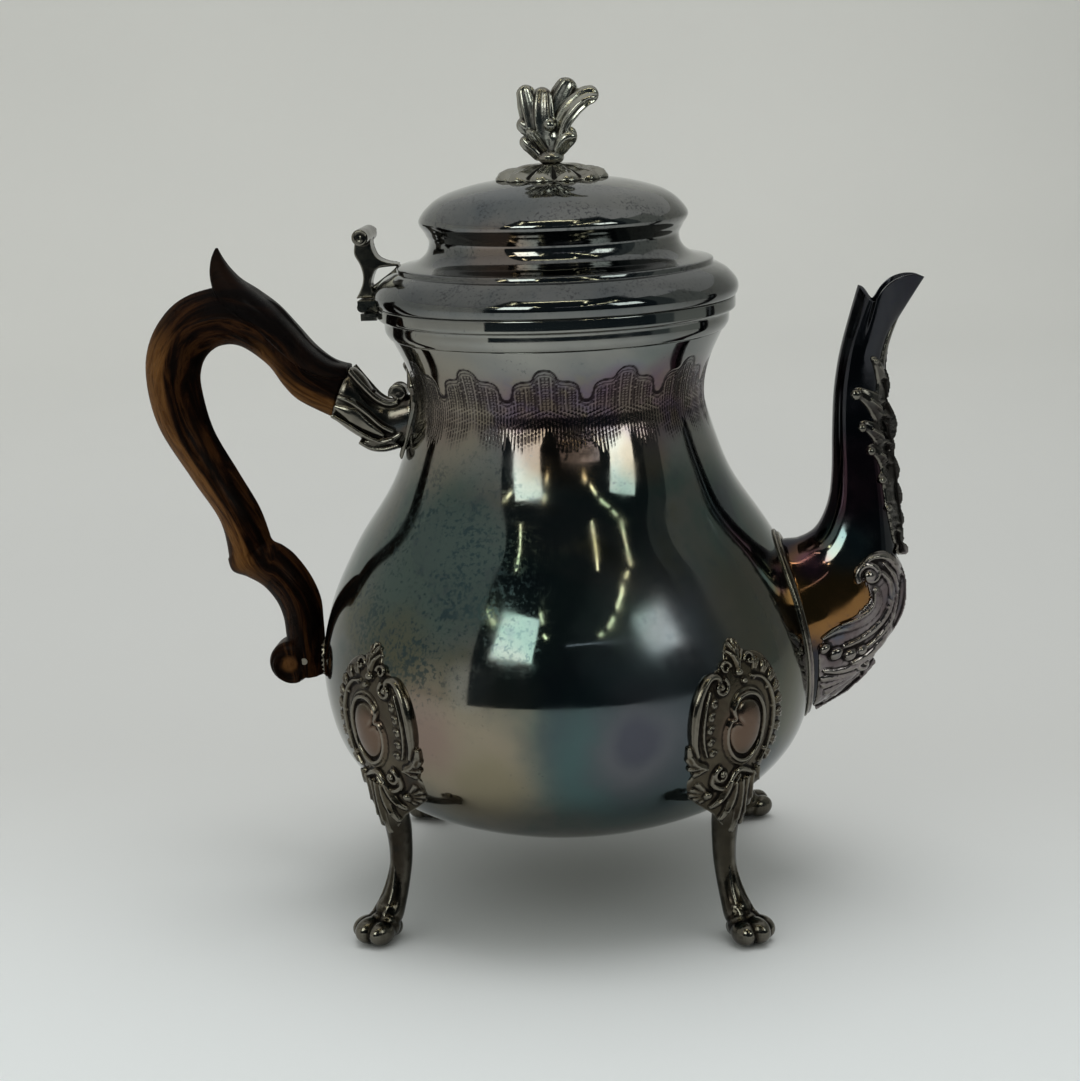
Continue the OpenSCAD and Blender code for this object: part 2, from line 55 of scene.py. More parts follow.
SPLIT_Z = rim_high.z / MM
RIM_R = (rim_high.y - rim_low.y) / 2 / MM
FLANGE_R = (lid_high.y - lid_low.y) / 2 / MM
TOTAL_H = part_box("finial")[1].z / MM
WALL = 1.0
SEAT = 0.05
MOUTH_R = 52.4
LID_Z = SPLIT_Z + 0.15
# Scroll that ends the handle's foot: its centre [x, z] and radius
FOOT_SCROLL = (-91.2, 75.2)
FOOT_SCROLL_R = 7.1
# Two mesh points nearer than this, in metres, are one point
SAME_POINT = 1e-7


# ---------------------------------------------------------------- curves and surfaces

def circle(count):
    """Angles once round, without the last one again."""
    return np.linspace(0, 2 * math.pi, count, endpoint=False)


def lengths(path):
    """Distance run along a line at each of its points."""
    return np.concatenate([[0], np.cumsum(np.linalg.norm(np.diff(path, axis=0), axis=1))])


def curve(points, steps=8, closed=False):
    """Catmull-Rom curve through rows of numbers."""
    p = np.asarray(points, float)
    n = len(p)
    out = []
    for i in range(n if closed else n - 1):
        span = range(i - 1, i + 3)
        a, b, c, d = (p[k % n] if closed else p[min(max(k, 0), n - 1)] for k in span)
        t = np.arange(steps)[:, None] / steps
        out.append(0.5 * (2 * b + (c - a) * t + (2 * a - 5 * b + 4 * c - d) * t ** 2
                          + (3 * b - a - 3 * c + d) * t ** 3))
    if not closed:
        out.append(p[-1:])
    return np.concatenate(out)


def even(points, count, closed=False):
    """The same line with count points at equal distances."""
    p = np.asarray(points, float)
    if closed:
        p = np.vstack([p, p[:1]])
    s = lengths(p)
    at = np.linspace(0, s[-1], count + 1 if closed else count)
    out = np.column_stack([np.interp(at, s, p[:, k]) for k in range(p.shape[1])])
    return out[:-1] if closed else out


def outline(points, steps, count):
    """Smooth closed edge through a few points."""
    return even(curve(points, steps, closed=True), count, closed=True)


def unit(v):
    v = np.asarray(v, float)
    return v / np.maximum(np.linalg.norm(v, axis=-1, keepdims=True), 1e-9)


def step(low, high, x):
    """Eased step from 0 at low to 1 at high."""
    t = np.clip((np.asarray(x, float) - low) / (high - low), 0, 1)
    return t * t * (3 - 2 * t)


def spread(values, count):
    """A few values laid out evenly over count places."""
    values = np.atleast_1d(values)
    return np.interp(np.linspace(0, 1, count), np.linspace(0, 1, len(values)), values)


def turned(verts, angle):
    """Points turned about the third axis."""
    c, s = math.cos(angle), math.sin(angle)
    return verts @ np.array([[c, s, 0], [-s, c, 0], [0, 0, 1]])


def grid_faces(rows, cols, wrap_rows=False, wrap_cols=False, start=0):
    """Quads over a grid of points kept row by row."""
    i = np.arange(rows if wrap_rows else rows - 1)[:, None]
    j = np.arange(cols if wrap_cols else cols - 1)[None, :]
    i2 = (i + 1) % rows
    j2 = (j + 1) % cols
    quads = np.stack([i * cols + j, i * cols + j2, i2 * cols + j2, i2 * cols + j], axis=-1)
    return (quads.reshape(-1, 4) + start).tolist()


def join(*shapes):
    """One shape from several; a shape is its points and its faces."""
    verts, faces, start = [], [], 0
    for v, f in shapes:
        verts.append(np.asarray(v, float).reshape(-1, 3))
        faces += [[k + start for k in face] for face in f]
        start += len(verts[-1])
    return np.concatenate(verts), faces


def skin(rings):
    """Closed solid over rings of points, with a fan at both ends."""
    rings = np.asarray(rings, float)
    m, n = rings.shape[:2]
    verts = np.concatenate([rings.reshape(-1, 3), rings[:1].mean(axis=1), rings[-1:].mean(axis=1)])
    faces = grid_faces(m, n, wrap_cols=True)
    last = (m - 1) * n
    for j in range(n):
        k = (j + 1) % n
        faces.append([m * n, k, j])
        faces.append([m * n + 1, last + j, last + k])
    return verts, faces


def lathe(profile, count=192):
    """Closed solid of revolution from a closed outline of [radius, height]."""
    p = np.asarray(profile, float)
    a = circle(count)
    verts = np.stack([np.outer(np.cos(a), p[:, 0]), np.outer(np.sin(a), p[:, 0]),
                      np.broadcast_to(p[:, 1], (count, len(p)))], axis=-1)
    return verts.reshape(-1, 3), grid_faces(count, len(p), wrap_rows=True, wrap_cols=True)


def frames(path, up=None, closed=False):
    """Unit tangent, side and up vectors along a path; up is carried along if it isn't given."""
    path = np.asarray(path, float)
    if closed:
        tangent = unit(np.roll(path, -1, 0) - np.roll(path, 1, 0))
    else:
        tangent = unit(np.gradient(path, axis=0))
    if up is None:
        first = np.array([0, 0, 1.0]) if abs(tangent[0][2]) < 0.9 else np.array([1.0, 0, 0])
        ups = [unit(first - tangent[0] * (first @ tangent[0]))]
        for t in tangent[1:]:
            ups.append(unit(ups[-1] - t * (ups[-1] @ t)))
        ups = np.array(ups)
    else:
        ups = np.broadcast_to(np.asarray(up, float), path.shape)
        ups = unit(ups - tangent * (ups * tangent).sum(1)[:, None])
    return tangent, np.cross(tangent, ups), ups


def sweep(path, wide, high=None, up=None, sides=12, closed=False, section=None):
    """Tube of elliptic section along a path; section(a, s) scales it by angle and place."""
    path = np.asarray(path, float)
    n = len(path)
    wide = np.broadcast_to(np.asarray(wide, float), (n,))
    high = wide if high is None else np.broadcast_to(np.asarray(high, float), (n,))
    _, side, ups = frames(path, up, closed)
    a = circle(sides)
    scale = np.ones((n, sides))
    if section is not None:
        scale = section(a[None, :], np.linspace(0, 1, n)[:, None]) * scale
    rings = (path[:, None] + side[:, None] * (wide[:, None] * np.cos(a) * scale)[..., None]
             + ups[:, None] * (high[:, None] * np.sin(a) * scale)[..., None])
    if closed:
        return rings.reshape(-1, 3), grid_faces(n, sides, wrap_rows=True, wrap_cols=True)
    return skin(rings)


def blob(centre, radii, turn=0.0, sides=16):
    """Ellipsoid, turned about the third axis."""
    rows = sides // 2
    b = np.linspace(0.5, rows - 0.5, rows) * math.pi / rows - math.pi / 2
    a = circle(sides)
    rings = np.stack([np.outer(np.cos(b), np.cos(a)) * radii[0],
                      np.outer(np.cos(b), np.sin(a)) * radii[1],
                      np.outer(np.sin(b), np.ones(sides)) * radii[2]], axis=-1)
    return skin(turned(rings, turn) + np.asarray(centre, float))


def plate(edge, height, mid, rings=14):
    """Slab over a closed flat outline: height(x, y, f) tops it, with f from 0 in the middle to 1."""
    f = np.linspace(0.02, 1, rings)
    xy = mid + (edge - np.asarray(mid, float))[None] * f[:, None, None]
    top = height(xy[..., 0], xy[..., 1], np.broadcast_to(f[:, None], xy.shape[:2]))
    top = np.broadcast_to(top, xy.shape[:2])
    upper = np.concatenate([xy, top[..., None]], axis=-1)
    lower = np.concatenate([xy[-1:], np.zeros((1, len(edge), 1)) - 0.4], axis=-1)
    return skin(np.concatenate([upper, lower]))


def round_ends(path, wide, high, count=5):
    """The same limb with its sections drawn in to a rounded point at both ends."""
    s = lengths(path)
    first, last = np.minimum([wide[0], wide[-1]], s[-1] / 3)
    t = np.linspace(0.2, math.pi / 2, count)
    head, tail = first * (1 - np.cos(t)), s[-1] - last * (1 - np.cos(t[::-1]))
    inner = s[(s > first * 1.05) & (s < s[-1] - last * 1.05)]
    at = np.concatenate([head, inner, tail])
    scale = np.concatenate([np.sin(t), np.ones(len(inner)), np.sin(t[::-1])])
    path = np.column_stack([np.interp(at, s, path[:, k]) for k in range(3)])
    return path, np.interp(at, s, wide) * scale, np.interp(at, s, high) * scale


# Flat ornament: strokes, leaves and shells drawn in a plane, whose third coordinate is their height

def stroke(points, wide, high, lift=0.0, steps=7, sides=10):
    """Rounded rib along a flat curve. wide and high are lists that spread over its length."""
    line = even(curve(points, steps), max(10, len(points) * steps))
    path = np.column_stack([line, np.full(len(line), lift)])
    limb = round_ends(path, spread(wide, len(line)), spread(high, len(line)))
    return sweep(*limb, up=(0, 0, 1), sides=sides)


def frond(root, tip, bend, wide, high, lift=0.2):
    """Leaf lobe from root to tip, bowed to one side, with a raised vein."""
    root, tip = np.asarray(root, float), np.asarray(tip, float)
    along = tip - root
    across = np.array([-along[1], along[0]])
    points = [root + along * t + across * bend * 4 * t * (1 - t) for t in (0, 0.25, 0.5, 0.75, 1)]
    lobe = stroke(points, [wide * 0.55, wide, wide, wide * 0.75, wide * 0.42],
                  [high * 0.7, high, high, high * 0.85, high * 0.5], lift)
    vein = stroke(points[:-1], wide * 0.17, high * 0.3, lift + high * 0.86, sides=6)
    return join(lobe, vein)


def volute(centre, radius, turns, start, wide, high, way=1, lift=0.0):
    """Spiral that winds in from radius to its eye."""
    t = np.linspace(0, 1, 14 + int(16 * turns))
    a = math.radians(start) + way * t * turns * 2 * math.pi
    r = radius * (1 - t) ** 0.85 + 0.12 * radius
    points = np.column_stack([centre[0] + r * np.cos(a), centre[1] + r * np.sin(a)])
    path = np.column_stack([points, np.full(len(t), lift) + 0.25 * high * t])
    return sweep(path, wide * (1 - 0.45 * t), high * (1 - 0.2 * t), up=(0, 0, 1), sides=10)


def fan(root, tips, wide, high, lift=0.2):
    """Shell: round-ended flutes that spread from one root."""
    root = np.asarray(root, float)
    flutes = []
    for tip in np.asarray(tips, float):
        flutes.append(stroke([root, root * 0.5 + tip * 0.5, tip], [wide * 0.4, wide * 0.8, wide],
                             [high * 0.6, high * 0.9, high], lift))
    return join(*flutes)


def upright(shape, off, side=1):
    """Flat ornament stood up on a flank of the handle, off millimetres from the middle plane."""
    verts, faces = shape
    return np.column_stack([verts[:, 0], side * (verts[:, 2] + off), verts[:, 1]]), faces


# ---------------------------------------------------------------- pieces

def place(verts):
    return np.asarray(verts, float) * MM + np.array([AXIS_X, 0, 0])


def stand(name, data):
    """New object in the scene."""
    thing = bpy.data.objects.new(name, data)
    bpy.context.scene.collection.objects.link(thing)
    return thing


def enlist(name, mesh, body, node):
    """Object that rides on a CAD body and stands for a CAD node."""
    piece = stand(name, mesh)
    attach(piece, body)
    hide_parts(node)
    return piece


def weld_mesh(mesh, tidy=True):
    """Joins points that meet, drops faces without area and turns all faces outwards."""
    bm = bmesh.new()
    bm.from_mesh(mesh)
    bmesh.ops.remove_doubles(bm, verts=bm.verts, dist=SAME_POINT)
    if tidy:
        bmesh.ops.dissolve_degenerate(bm, edges=bm.edges, dist=SAME_POINT)
    bmesh.ops.recalc_face_normals(bm, faces=bm.faces)
    bm.to_mesh(mesh)
    bm.free()


def new_piece(name, shape, material, body, node, weld=True):
    """Smooth-shaded piece from a shape in millimetres."""
    verts, faces = shape
    mesh = bpy.data.meshes.new(name)
    mesh.from_pydata(place(verts).tolist(), [], faces)
    if weld:
        weld_mesh(mesh)
    mesh.shade_smooth()
    mesh.materials.append(material)
    return enlist(name, mesh, body, node)


def apply_modifiers(piece):
    graph = bpy.context.evaluated_depsgraph_get()
    mesh = bpy.data.meshes.new_from_object(piece.evaluated_get(graph))
    piece.modifiers.clear()
    piece.data = mesh
    return mesh


def read(items, key, width, kind=np.float32):
    """Numbers kept with a mesh's points or edges, one row for each."""
    values = np.zeros(len(items) * width, kind)
    items.foreach_get(key, values)
    return values.reshape(-1, width)


def paint(piece, name, values):
    """Stores a number at each point, for a material to read."""
    layer = piece.data.attributes.new(name, "FLOAT", "POINT")
    layer.data.foreach_set("value", np.asarray(values, np.float32))


def fuse(piece, voxel, rounds, floor=None):
    """Melts overlapping parts of a piece into one cast skin."""
    material = piece.data.materials[0]
    remesh = piece.modifiers.new("fuse", "REMESH")
    remesh.mode = "VOXEL"
    remesh.voxel_size = voxel * MM
    relax = piece.modifiers.new("relax", "SMOOTH")
    relax.factor = 0.5
    relax.iterations = rounds
    mesh = apply_modifiers(piece)
    mesh.name = piece.name
    mesh.materials.clear()
    mesh.materials.append(material)
    if floor is not None:
        co = read(mesh.vertices, "co", 3)
        co[:, 2] = np.maximum(co[:, 2], floor * MM)
        mesh.vertices.foreach_set("co", co.ravel())
    mesh.shade_smooth()


def hollows(piece, rounds=18):
    """Stores how deep each point lies in a hollow, for dirt in the recesses: 0.5 is level."""
    mesh = piece.data
    n = len(mesh.vertices)
    co = read(mesh.vertices, "co", 3).astype(float)
    normal = read(mesh.vertices, "normal", 3).astype(float)
    edge = read(mesh.edges, "vertices", 2, np.int32)
    count = np.maximum(np.bincount(edge.ravel(), minlength=n), 1)[:, None]

    def relaxed(v):
        total = [np.bincount(edge[:, 0], v[edge[:, 1], k], n)
                 + np.bincount(edge[:, 1], v[edge[:, 0], k], n) for k in range(v.shape[1])]
        return 0.5 * v + 0.5 * (np.column_stack(total) / count)

    soft = co
    for _ in range(rounds):
        soft = relaxed(soft)
    depth = ((soft - co) * normal).sum(axis=1)[:, None] / MM
    for _ in range(2):
        depth = relaxed(depth)
    paint(piece, "hollow", np.clip(0.5 + 1.4 * depth[:, 0], 0, 1))


def cast(name, shape, node, voxel, rounds=1, body="pot", floor=None, weld=True):
    """Cast silver piece: overlapping shapes in one skin, with its hollows marked."""
    piece = new_piece(name, shape, CAST, body, node, weld)
    fuse(piece, voxel, rounds, floor)
    hollows(piece)
    return piece


# ---------------------------------------------------------------- materials

class Tree:
    """Short way to write a node material."""

    def __init__(self, name):
        self.material = bpy.data.materials.new(name)
        self.material.use_nodes = True
        self.nodes = self.material.node_tree.nodes
        self.links = self.material.node_tree.links
        self.shader = self.nodes["Principled BSDF"]
        self.place = self.add("ShaderNodeTexCoord").outputs["Object"]
        self.x, self.y, self.z = self.add("ShaderNodeSeparateXYZ", {"Vector": self.place}).outputs

    def add(self, kind, inputs=(), **values):
        node = self.nodes.new(kind)
        for key, value in values.items():
            setattr(node, key, value)
        for key, value in dict(inputs).items():
            self.put(node.inputs[key], value)
        return node

    def put(self, socket, value):
        if isinstance(value, bpy.types.NodeSocket):
            self.links.new(value, socket)
        else:
            socket.default_value = value

    def math(self, kind, a, b):
        return self.add("ShaderNodeMath", {0: a, 1: b}, operation=kind).outputs[0]

    def times(self, a, b):
        return self.math("MULTIPLY", a, b)

    def plus(self, a, b):
        return self.math("ADD", a, b)

    def vector(self, kind, a, b):
        return self.add("ShaderNodeVectorMath", {0: a, 1: b}, operation=kind).outputs[0]

    def length(self, a):
        node = self.add("ShaderNodeVectorMath", {0: a}, operation="LENGTH")
        return node.outputs["Value"]

    def stored(self, name):
        """A number that paint() left at the points."""
        return self.add("ShaderNodeAttribute", attribute_name=name).outputs["Fac"]

    def noise(self, scale, detail=3.0, rough=0.5, twist=0.0, at=None):
        node = self.add("ShaderNodeTexNoise", {"Vector": at or self.place, "Scale": scale,
                                               "Detail": detail, "Roughness": rough,
                                               "Distortion": twist})
        return node.outputs["Fac"]

    def remap(self, value, low, high, to_low=0.0, to_high=1.0):
        """Eased step of a value between two limits, which may fall as well as rise."""
        node = self.add("ShaderNodeMapRange", {"Value": value, "From Min": low, "From Max": high,
                                               "To Min": to_low, "To Max": to_high},
                        interpolation_type="SMOOTHSTEP")
        return node.outputs["Result"]

    def mix(self, factor, a, b, kind="MIX"):
        node = self.add("ShaderNodeMix", data_type="RGBA", blend_type=kind)
        self.put(node.inputs["Factor"], factor)
        for socket, value in ((node.inputs[6], a), (node.inputs[7], b)):
            self.put(socket, value if isinstance(value, bpy.types.NodeSocket) else (*value, 1))
        return node.outputs[2]

    def tint(self, colour, mask, share, tint):
        """Colour taken a share of the way to a tint where the mask is 1."""
        return self.mix(self.times(mask, share), colour, tint)

    def scale(self, colour, mask, factors):
        return self.mix(mask, colour, factors, kind="MULTIPLY")

    def ramp(self, value, *stops):
        node = self.add("ShaderNodeValToRGB", {"Fac": value})
        band = node.color_ramp
        while len(band.elements) < len(stops):
            band.elements.new(0.5)
        for element, (at, colour) in zip(band.elements, stops):
            element.position = at
            element.color = (*colour, 1)
        return node.outputs["Color"]

    def near(self, centre, radius, soft=0.5):
        """1 round a point given in millimetres about the pot's axis, and 0 further off."""
        at = [centre[0] * MM + AXIS_X, centre[1] * MM, centre[2] * MM]
        away = self.length(self.vector("SUBTRACT", self.place, at))
        wavy = self.plus(away, self.times(self.noise(45, 3, 0.6), radius * MM * soft))
        low = radius * MM * (1 + soft * 0.5)
        return self.remap(wavy, low * 0.6, low * 1.15, 1.0, 0.0)

    def speckles(self, scale, share):
        """Small ragged spots, more of them where a slower noise is high."""
        dots = self.noise(scale, 4, 0.7)
        field = self.noise(scale * 0.09, 3, 0.6)
        return self.remap(self.plus(dots, self.times(field, 0.45)), share, share + 0.1)

    def finish(self, colour, rough, bump, height, strength, **plain):
        self.put(self.shader.inputs["Base Color"], colour)
        self.put(self.shader.inputs["Roughness"], rough)
        for key, value in plain.items():
            self.put(self.shader.inputs[key.replace("_", " ")], value)
        node = self.add("ShaderNodeBump", {"Height": bump, "Distance": height,
                                           "Strength": strength})
        self.links.new(node.outputs["Normal"], self.shader.inputs["Normal"])
        return self.material


SILVER = (0.29, 0.288, 0.262)
STRAW = (0.265, 0.225, 0.165)
ROSE = (0.16, 0.105, 0.125)
TEAL = (0.066, 0.112, 0.112)
MOSS = (0.075, 0.105, 0.095)
SLATE = (0.060, 0.072, 0.080)
SMOKE = (0.085, 0.088, 0.105)
AMBER = (0.20, 0.098, 0.028)
OLIVE = (0.10, 0.098, 0.065)

# Patches of tarnish on the sheet: centre in millimetres, radius, tint, share
TARNISH = (((-36, -52, 116), 30, MOSS, 0.95), ((-44, -56, 92), 15, OLIVE, 0.7),
           ((-26, -70, 62), 30, STRAW, 0.95), ((-36, -66, 70), 14, (0.23, 0.165, 0.14), 0.8),
           ((-18, -74, 54), 14, (0.21, 0.185, 0.12), 0.7), ((8, -50, 150), 12, AMBER, 0.5),
           ((28, -40, 148), 10, AMBER, 0.35), ((30, -68, 66), 27, SLATE, 0.85),
           ((20, -76, 60), 11, SMOKE, 0.9), ((40, -58, 98), 22, SMOKE, 0.7),
           ((62, -40, 100), 26, (0.095, 0.09, 0.07), 0.8), ((70, -30, 72), 22, OLIVE, 0.8),
           ((-30, -34, 170), 20, (0.26, 0.24, 0.195), 0.7), ((30, -36, 172), 14, TEAL, 0.35),
           ((22, -40, 172), 8, (0.19, 0.18, 0.26), 0.5), ((34, -32, 174), 7, ROSE, 0.5),
           ((22, -42, 168), 9, ROSE, 0.6), ((-4, -48, 158), 13, ROSE, 0.45),
           ((34, -34, 160), 13, ROSE, 0.5), ((-34, -30, 158), 11, ROSE, 0.5),
           ((-40, 62, 110), 30, MOSS, 0.8), ((0, 78, 62), 30, STRAW, 0.8),
           ((50, 56, 84), 26, TEAL, 0.7), ((-62, 40, 70), 22, ROSE, 0.5))
# Rings of the iridescent patch low on the belly, each also with the softness of its edge
RINGS = (((24, -74, 62), 31, TEAL, 0.97, 0.45), ((34, -68, 68), 27, SLATE, 0.9, 0.6),
         ((26, -73, 68), 19, (0.088, 0.094, 0.105), 0.85, 0.8),
         ((24, -75, 66), 13, (0.12, 0.122, 0.132), 0.6, 1.1),
         ((25, -74, 69), 9, (0.062, 0.064, 0.084), 0.75, 1.1))


def toned_silver():
    """Polished sheet silver under a patchy film of tarnish, with the engraving blackened."""
    t = Tree("toned_silver")
    clean = t.ramp(t.noise(14, 5, 0.55, 0.6), (0.36, SILVER), (0.48, (0.235, 0.235, 0.22)),
                   (0.58, (0.185, 0.195, 0.19)), (0.70, (0.13, 0.16, 0.165)))
    toned = t.ramp(t.noise(11, 5, 0.6, 0.9), (0.34, OLIVE), (0.44, (0.115, 0.12, 0.11)),
                   (0.52, MOSS), (0.60, SLATE), (0.70, TEAL))
    wavy = t.plus(t.z, t.times(t.noise(30, 3, 0.6), 0.012))
    belly = t.remap(wavy, 0.160, 0.142)
    colour = t.mix(belly, clean, toned)
    for centre, radius, tint, share in TARNISH:
        colour = t.tint(colour, t.near(centre, radius, 0.9), share, tint)
    for centre, radius, tint, share, soft in RINGS:
        colour = t.tint(colour, t.near(centre, radius, soft), share, tint)
    engraved = t.times(t.remap(t.z, 0.151, 0.160), t.remap(t.z, 0.178, 0.168))
    blush = t.ramp(t.noise(70, 3, 0.6), (0.38, (0.19, 0.15, 0.115)), (0.47, (0.16, 0.105, 0.11)),
                   (0.55, (0.115, 0.075, 0.115)), (0.64, (0.16, 0.115, 0.08)))
    rightwards = t.remap(t.x, AXIS_X - 0.036, AXIS_X - 0.006, 0.2, 0.75)
    colour = t.mix(t.times(engraved, rightwards), colour, blush)
    colour = t.tint(colour, t.near((-36, -30, 158), 22, 0.9), 0.55, (0.24, 0.205, 0.155))
    colour = t.tint(colour, t.near((0, -50, 152.5), 13, 0.7), 0.7, (0.06, 0.038, 0.020))
    lid = t.ramp(t.noise(20, 5, 0.6, 0.6), (0.36, (0.205, 0.205, 0.195)),
                 (0.48, (0.165, 0.168, 0.165)), (0.58, (0.125, 0.135, 0.14)),
                 (0.70, (0.09, 0.105, 0.12)))
    colour = t.tint(colour, t.remap(t.z, 0.188, 0.196), 0.9, lid)
    colour = t.tint(colour, t.near((-14, -38, 207), 13, 0.7), 0.6, (0.26, 0.19, 0.155))
    # Painted highlight: a clean bright silver spot where the left window reflects low on the belly,
    # to brighten that reflection.
    colour = t.tint(colour, t.near((-22, -70, 86), 9, 0.4), 0.7, SILVER)
    flange = t.times(t.remap(t.z, 0.190, 0.196), t.remap(t.z, 0.214, 0.204))
    colour = t.tint(colour, flange, 0.5, (0.10, 0.105, 0.105))
    grime = t.times(t.speckles(1000, 0.78), t.remap(t.z, 0.19, 0.20))
    colour = t.tint(colour, grime, 0.7, (0.05, 0.052, 0.056))
    blotch = t.times(t.speckles(230, 0.78), t.remap(t.z, 0.075, 0.105))
    colour = t.tint(colour, blotch, t.times(belly, 0.35), SLATE)
    spots = t.times(t.speckles(640, 0.74), t.near((-34, -54, 112), 42, 0.9))
    colour = t.tint(colour, spots, 0.75, (0.026, 0.050, 0.058))
    colour = t.tint(colour, t.speckles(760, 0.86), 0.45, (0.05, 0.06, 0.065))
    cut = t.stored("cut")
    colour = t.tint(colour, cut, 0.95, (0.012, 0.008, 0.010))
    worn = t.plus(t.remap(t.noise(90, 4, 0.6), 0.35, 0.7, 0.045, 0.12), t.times(spots, 0.16))
    haze = t.times(t.near((38, -62, 96), 20, 0.9), t.noise(60, 4, 0.6))
    rough = t.plus(t.plus(worn, t.times(cut, 0.25)), t.times(haze, 0.24))
    film = t.plus(t.times(belly, 0.02), t.times(t.near((32, -62, 98), 26, 0.9), 0.17))
    ripple = t.plus(t.noise(26, 2, 0.4), t.times(t.noise(900, 2, 0.5), 0.02))
    return t.finish(colour, rough, ripple, 0.0006, 0.22, Metallic=t.math("SUBTRACT", 1.0, film))


def cast_silver():
    """Cast ornament: rubbed bright on the heights, dark in the hollows."""
    t = Tree("cast_silver")
    colour = t.ramp(t.noise(40, 4, 0.6, 0.4), (0.36, (0.165, 0.15, 0.12)),
                    (0.5, (0.11, 0.102, 0.085)), (0.6, (0.075, 0.063, 0.053)),
                    (0.7, (0.052, 0.06, 0.062)))
    for x, y in ((1, -1), (-1, -1), (1, 1), (-1, 1)):
        boss = t.near((57 * x, 57 * y, 67), 8.5, 0.5)
        colour = t.tint(colour, boss, 0.75, (0.26, 0.19, 0.165))
    neck = t.times(t.remap(t.z, 0.106, 0.112), t.remap(t.x, AXIS_X + 0.072, AXIS_X + 0.079))
    colour = t.scale(colour, neck, (0.55, 0.56, 0.62))
    root = t.times(t.remap(t.z, 0.112, 0.106), t.remap(t.x, AXIS_X + 0.076, AXIS_X + 0.080))
    colour = t.scale(colour, root, (1.75, 1.65, 2.0))
    below = t.times(t.remap(t.z, 0.125, 0.105), t.remap(t.x, AXIS_X + 0.079, AXIS_X + 0.072))
    colour = t.scale(colour, below, (0.62, 0.56, 0.48))
    colour = t.scale(colour, t.remap(t.z, 0.050, 0.036), (0.5, 0.52, 0.54))
    colour = t.scale(colour, t.remap(t.z, 0.214, 0.224), (2.7, 2.9, 3.1))
    hollow = t.stored("hollow")
    deep = t.remap(hollow, 0.505, 0.64)
    colour = t.tint(colour, t.remap(hollow, 0.48, 0.36), 0.45, (0.30, 0.28, 0.235))
    colour = t.tint(colour, deep, 0.94, (0.008, 0.0065, 0.006))
    colour = t.tint(colour, t.speckles(420, 0.84), 0.4, (0.04, 0.03, 0.026))
    rough = t.plus(t.remap(t.noise(160, 4, 0.6), 0.3, 0.7, 0.13, 0.24), t.times(deep, 0.35))
    grain = t.plus(t.noise(500, 3, 0.6), t.times(t.noise(130, 2), 0.7))
    return t.finish(colour, rough, grain, 0.00025, 0.22, Metallic=1.0)


def spout_silver():
    """Polished spout: nearly black above, heat-tinted amber and purple on the bulb."""
    t = Tree("spout_silver")
    colour = t.ramp(t.noise(22, 4, 0.55, 0.8), (0.36, (0.055, 0.056, 0.06)),
                    (0.5, (0.034, 0.035, 0.042)), (0.62, (0.03, 0.024, 0.034)),
                    (0.72, (0.02, 0.028, 0.04)))
    for centre, radius, tint, share in (((84, -12, 96), 18, (0.27, 0.135, 0.045), 0.9),
                                        ((79, -14, 109), 7, (0.13, 0.06, 0.11), 0.8),
                                        ((90, -9, 112), 9, (0.10, 0.15, 0.15), 0.7),
                                        ((94, -6, 132), 15, (0.07, 0.035, 0.045), 0.7),
                                        ((84, 12, 96), 18, AMBER, 0.7)):
        colour = t.tint(colour, t.near(centre, radius, 0.8), share, tint)
    colour = t.tint(colour, t.speckles(500, 0.82), 0.4, (0.03, 0.03, 0.05))
    rough = t.remap(t.noise(110, 4, 0.6), 0.35, 0.7, 0.06, 0.17)
    return t.finish(colour, rough, t.noise(60, 3, 0.5), 0.0004, 0.2, Metallic=1.0)


def rosewood():
    """Dark oiled hardwood: orange-brown and black figure that follows the handle's run."""
    t = Tree("rosewood")
    across, run = t.stored("across"), t.stored("run")

    def figure(x, y, z):
        place = t.add("ShaderNodeCombineXYZ", {"X": t.times(across, x), "Y": t.times(run, y),
                                               "Z": t.times(t.y, z)})
        return place.outputs[0]

    bands = t.noise(1.25, 5, 0.6, 0.7, at=figure(5.0, 6.0, 90))
    colour = t.ramp(bands, (0.38, (0.0022, 0.0014, 0.0010)), (0.47, (0.006, 0.0027, 0.0015)),
                    (0.53, (0.018, 0.0070, 0.0028)), (0.60, (0.042, 0.0165, 0.0055)),
                    (0.67, (0.008, 0.0036, 0.0018)))
    light = t.times(t.remap(across, 0.47, 0.39),
                    t.times(t.remap(run, 0.31, 0.39), t.remap(run, 0.80, 0.74)))
    facet = t.times(t.remap(across, 0.56, 0.72), t.remap(across, 0.99, 0.95))
    facet = t.times(facet, t.remap(run, 0.19, 0.12))
    streak = t.ramp(bands, (0.36, (0.030, 0.0115, 0.0038)), (0.45, (0.110, 0.046, 0.0125)),
                    (0.55, (0.175, 0.079, 0.0235)), (0.66, (0.080, 0.034, 0.0105)))
    colour = t.tint(colour, t.math("MAXIMUM", light, facet), 0.92, streak)
    band = t.times(t.remap(across, 0.46, 0.38), t.remap(run, 0.30, 0.25))
    colour = t.tint(colour, band, 0.8, (0.0045, 0.0036, 0.0036))
    eye = t.near((FOOT_SCROLL[0], -7.0, FOOT_SCROLL[1]), 3.0, 0.4)
    colour = t.tint(colour, eye, 0.8, (0.12, 0.052, 0.016))
    pore = t.remap(t.noise(1.0, 2, 0.5, at=figure(130.0, 46.0, 1500)), 0.58, 0.68)
    colour = t.tint(colour, pore, 0.55, (0.005, 0.003, 0.002))
    rough = t.plus(t.remap(t.noise(140, 3, 0.6), 0.3, 0.7, 0.24, 0.36), t.times(pore, 0.2))
    height = t.math("SUBTRACT", t.times(bands, 0.2), t.times(pore, 0.5))
    return t.finish(colour, rough, height, 0.0002, 0.3, Specular_IOR_Level=0.04, IOR=1.35)


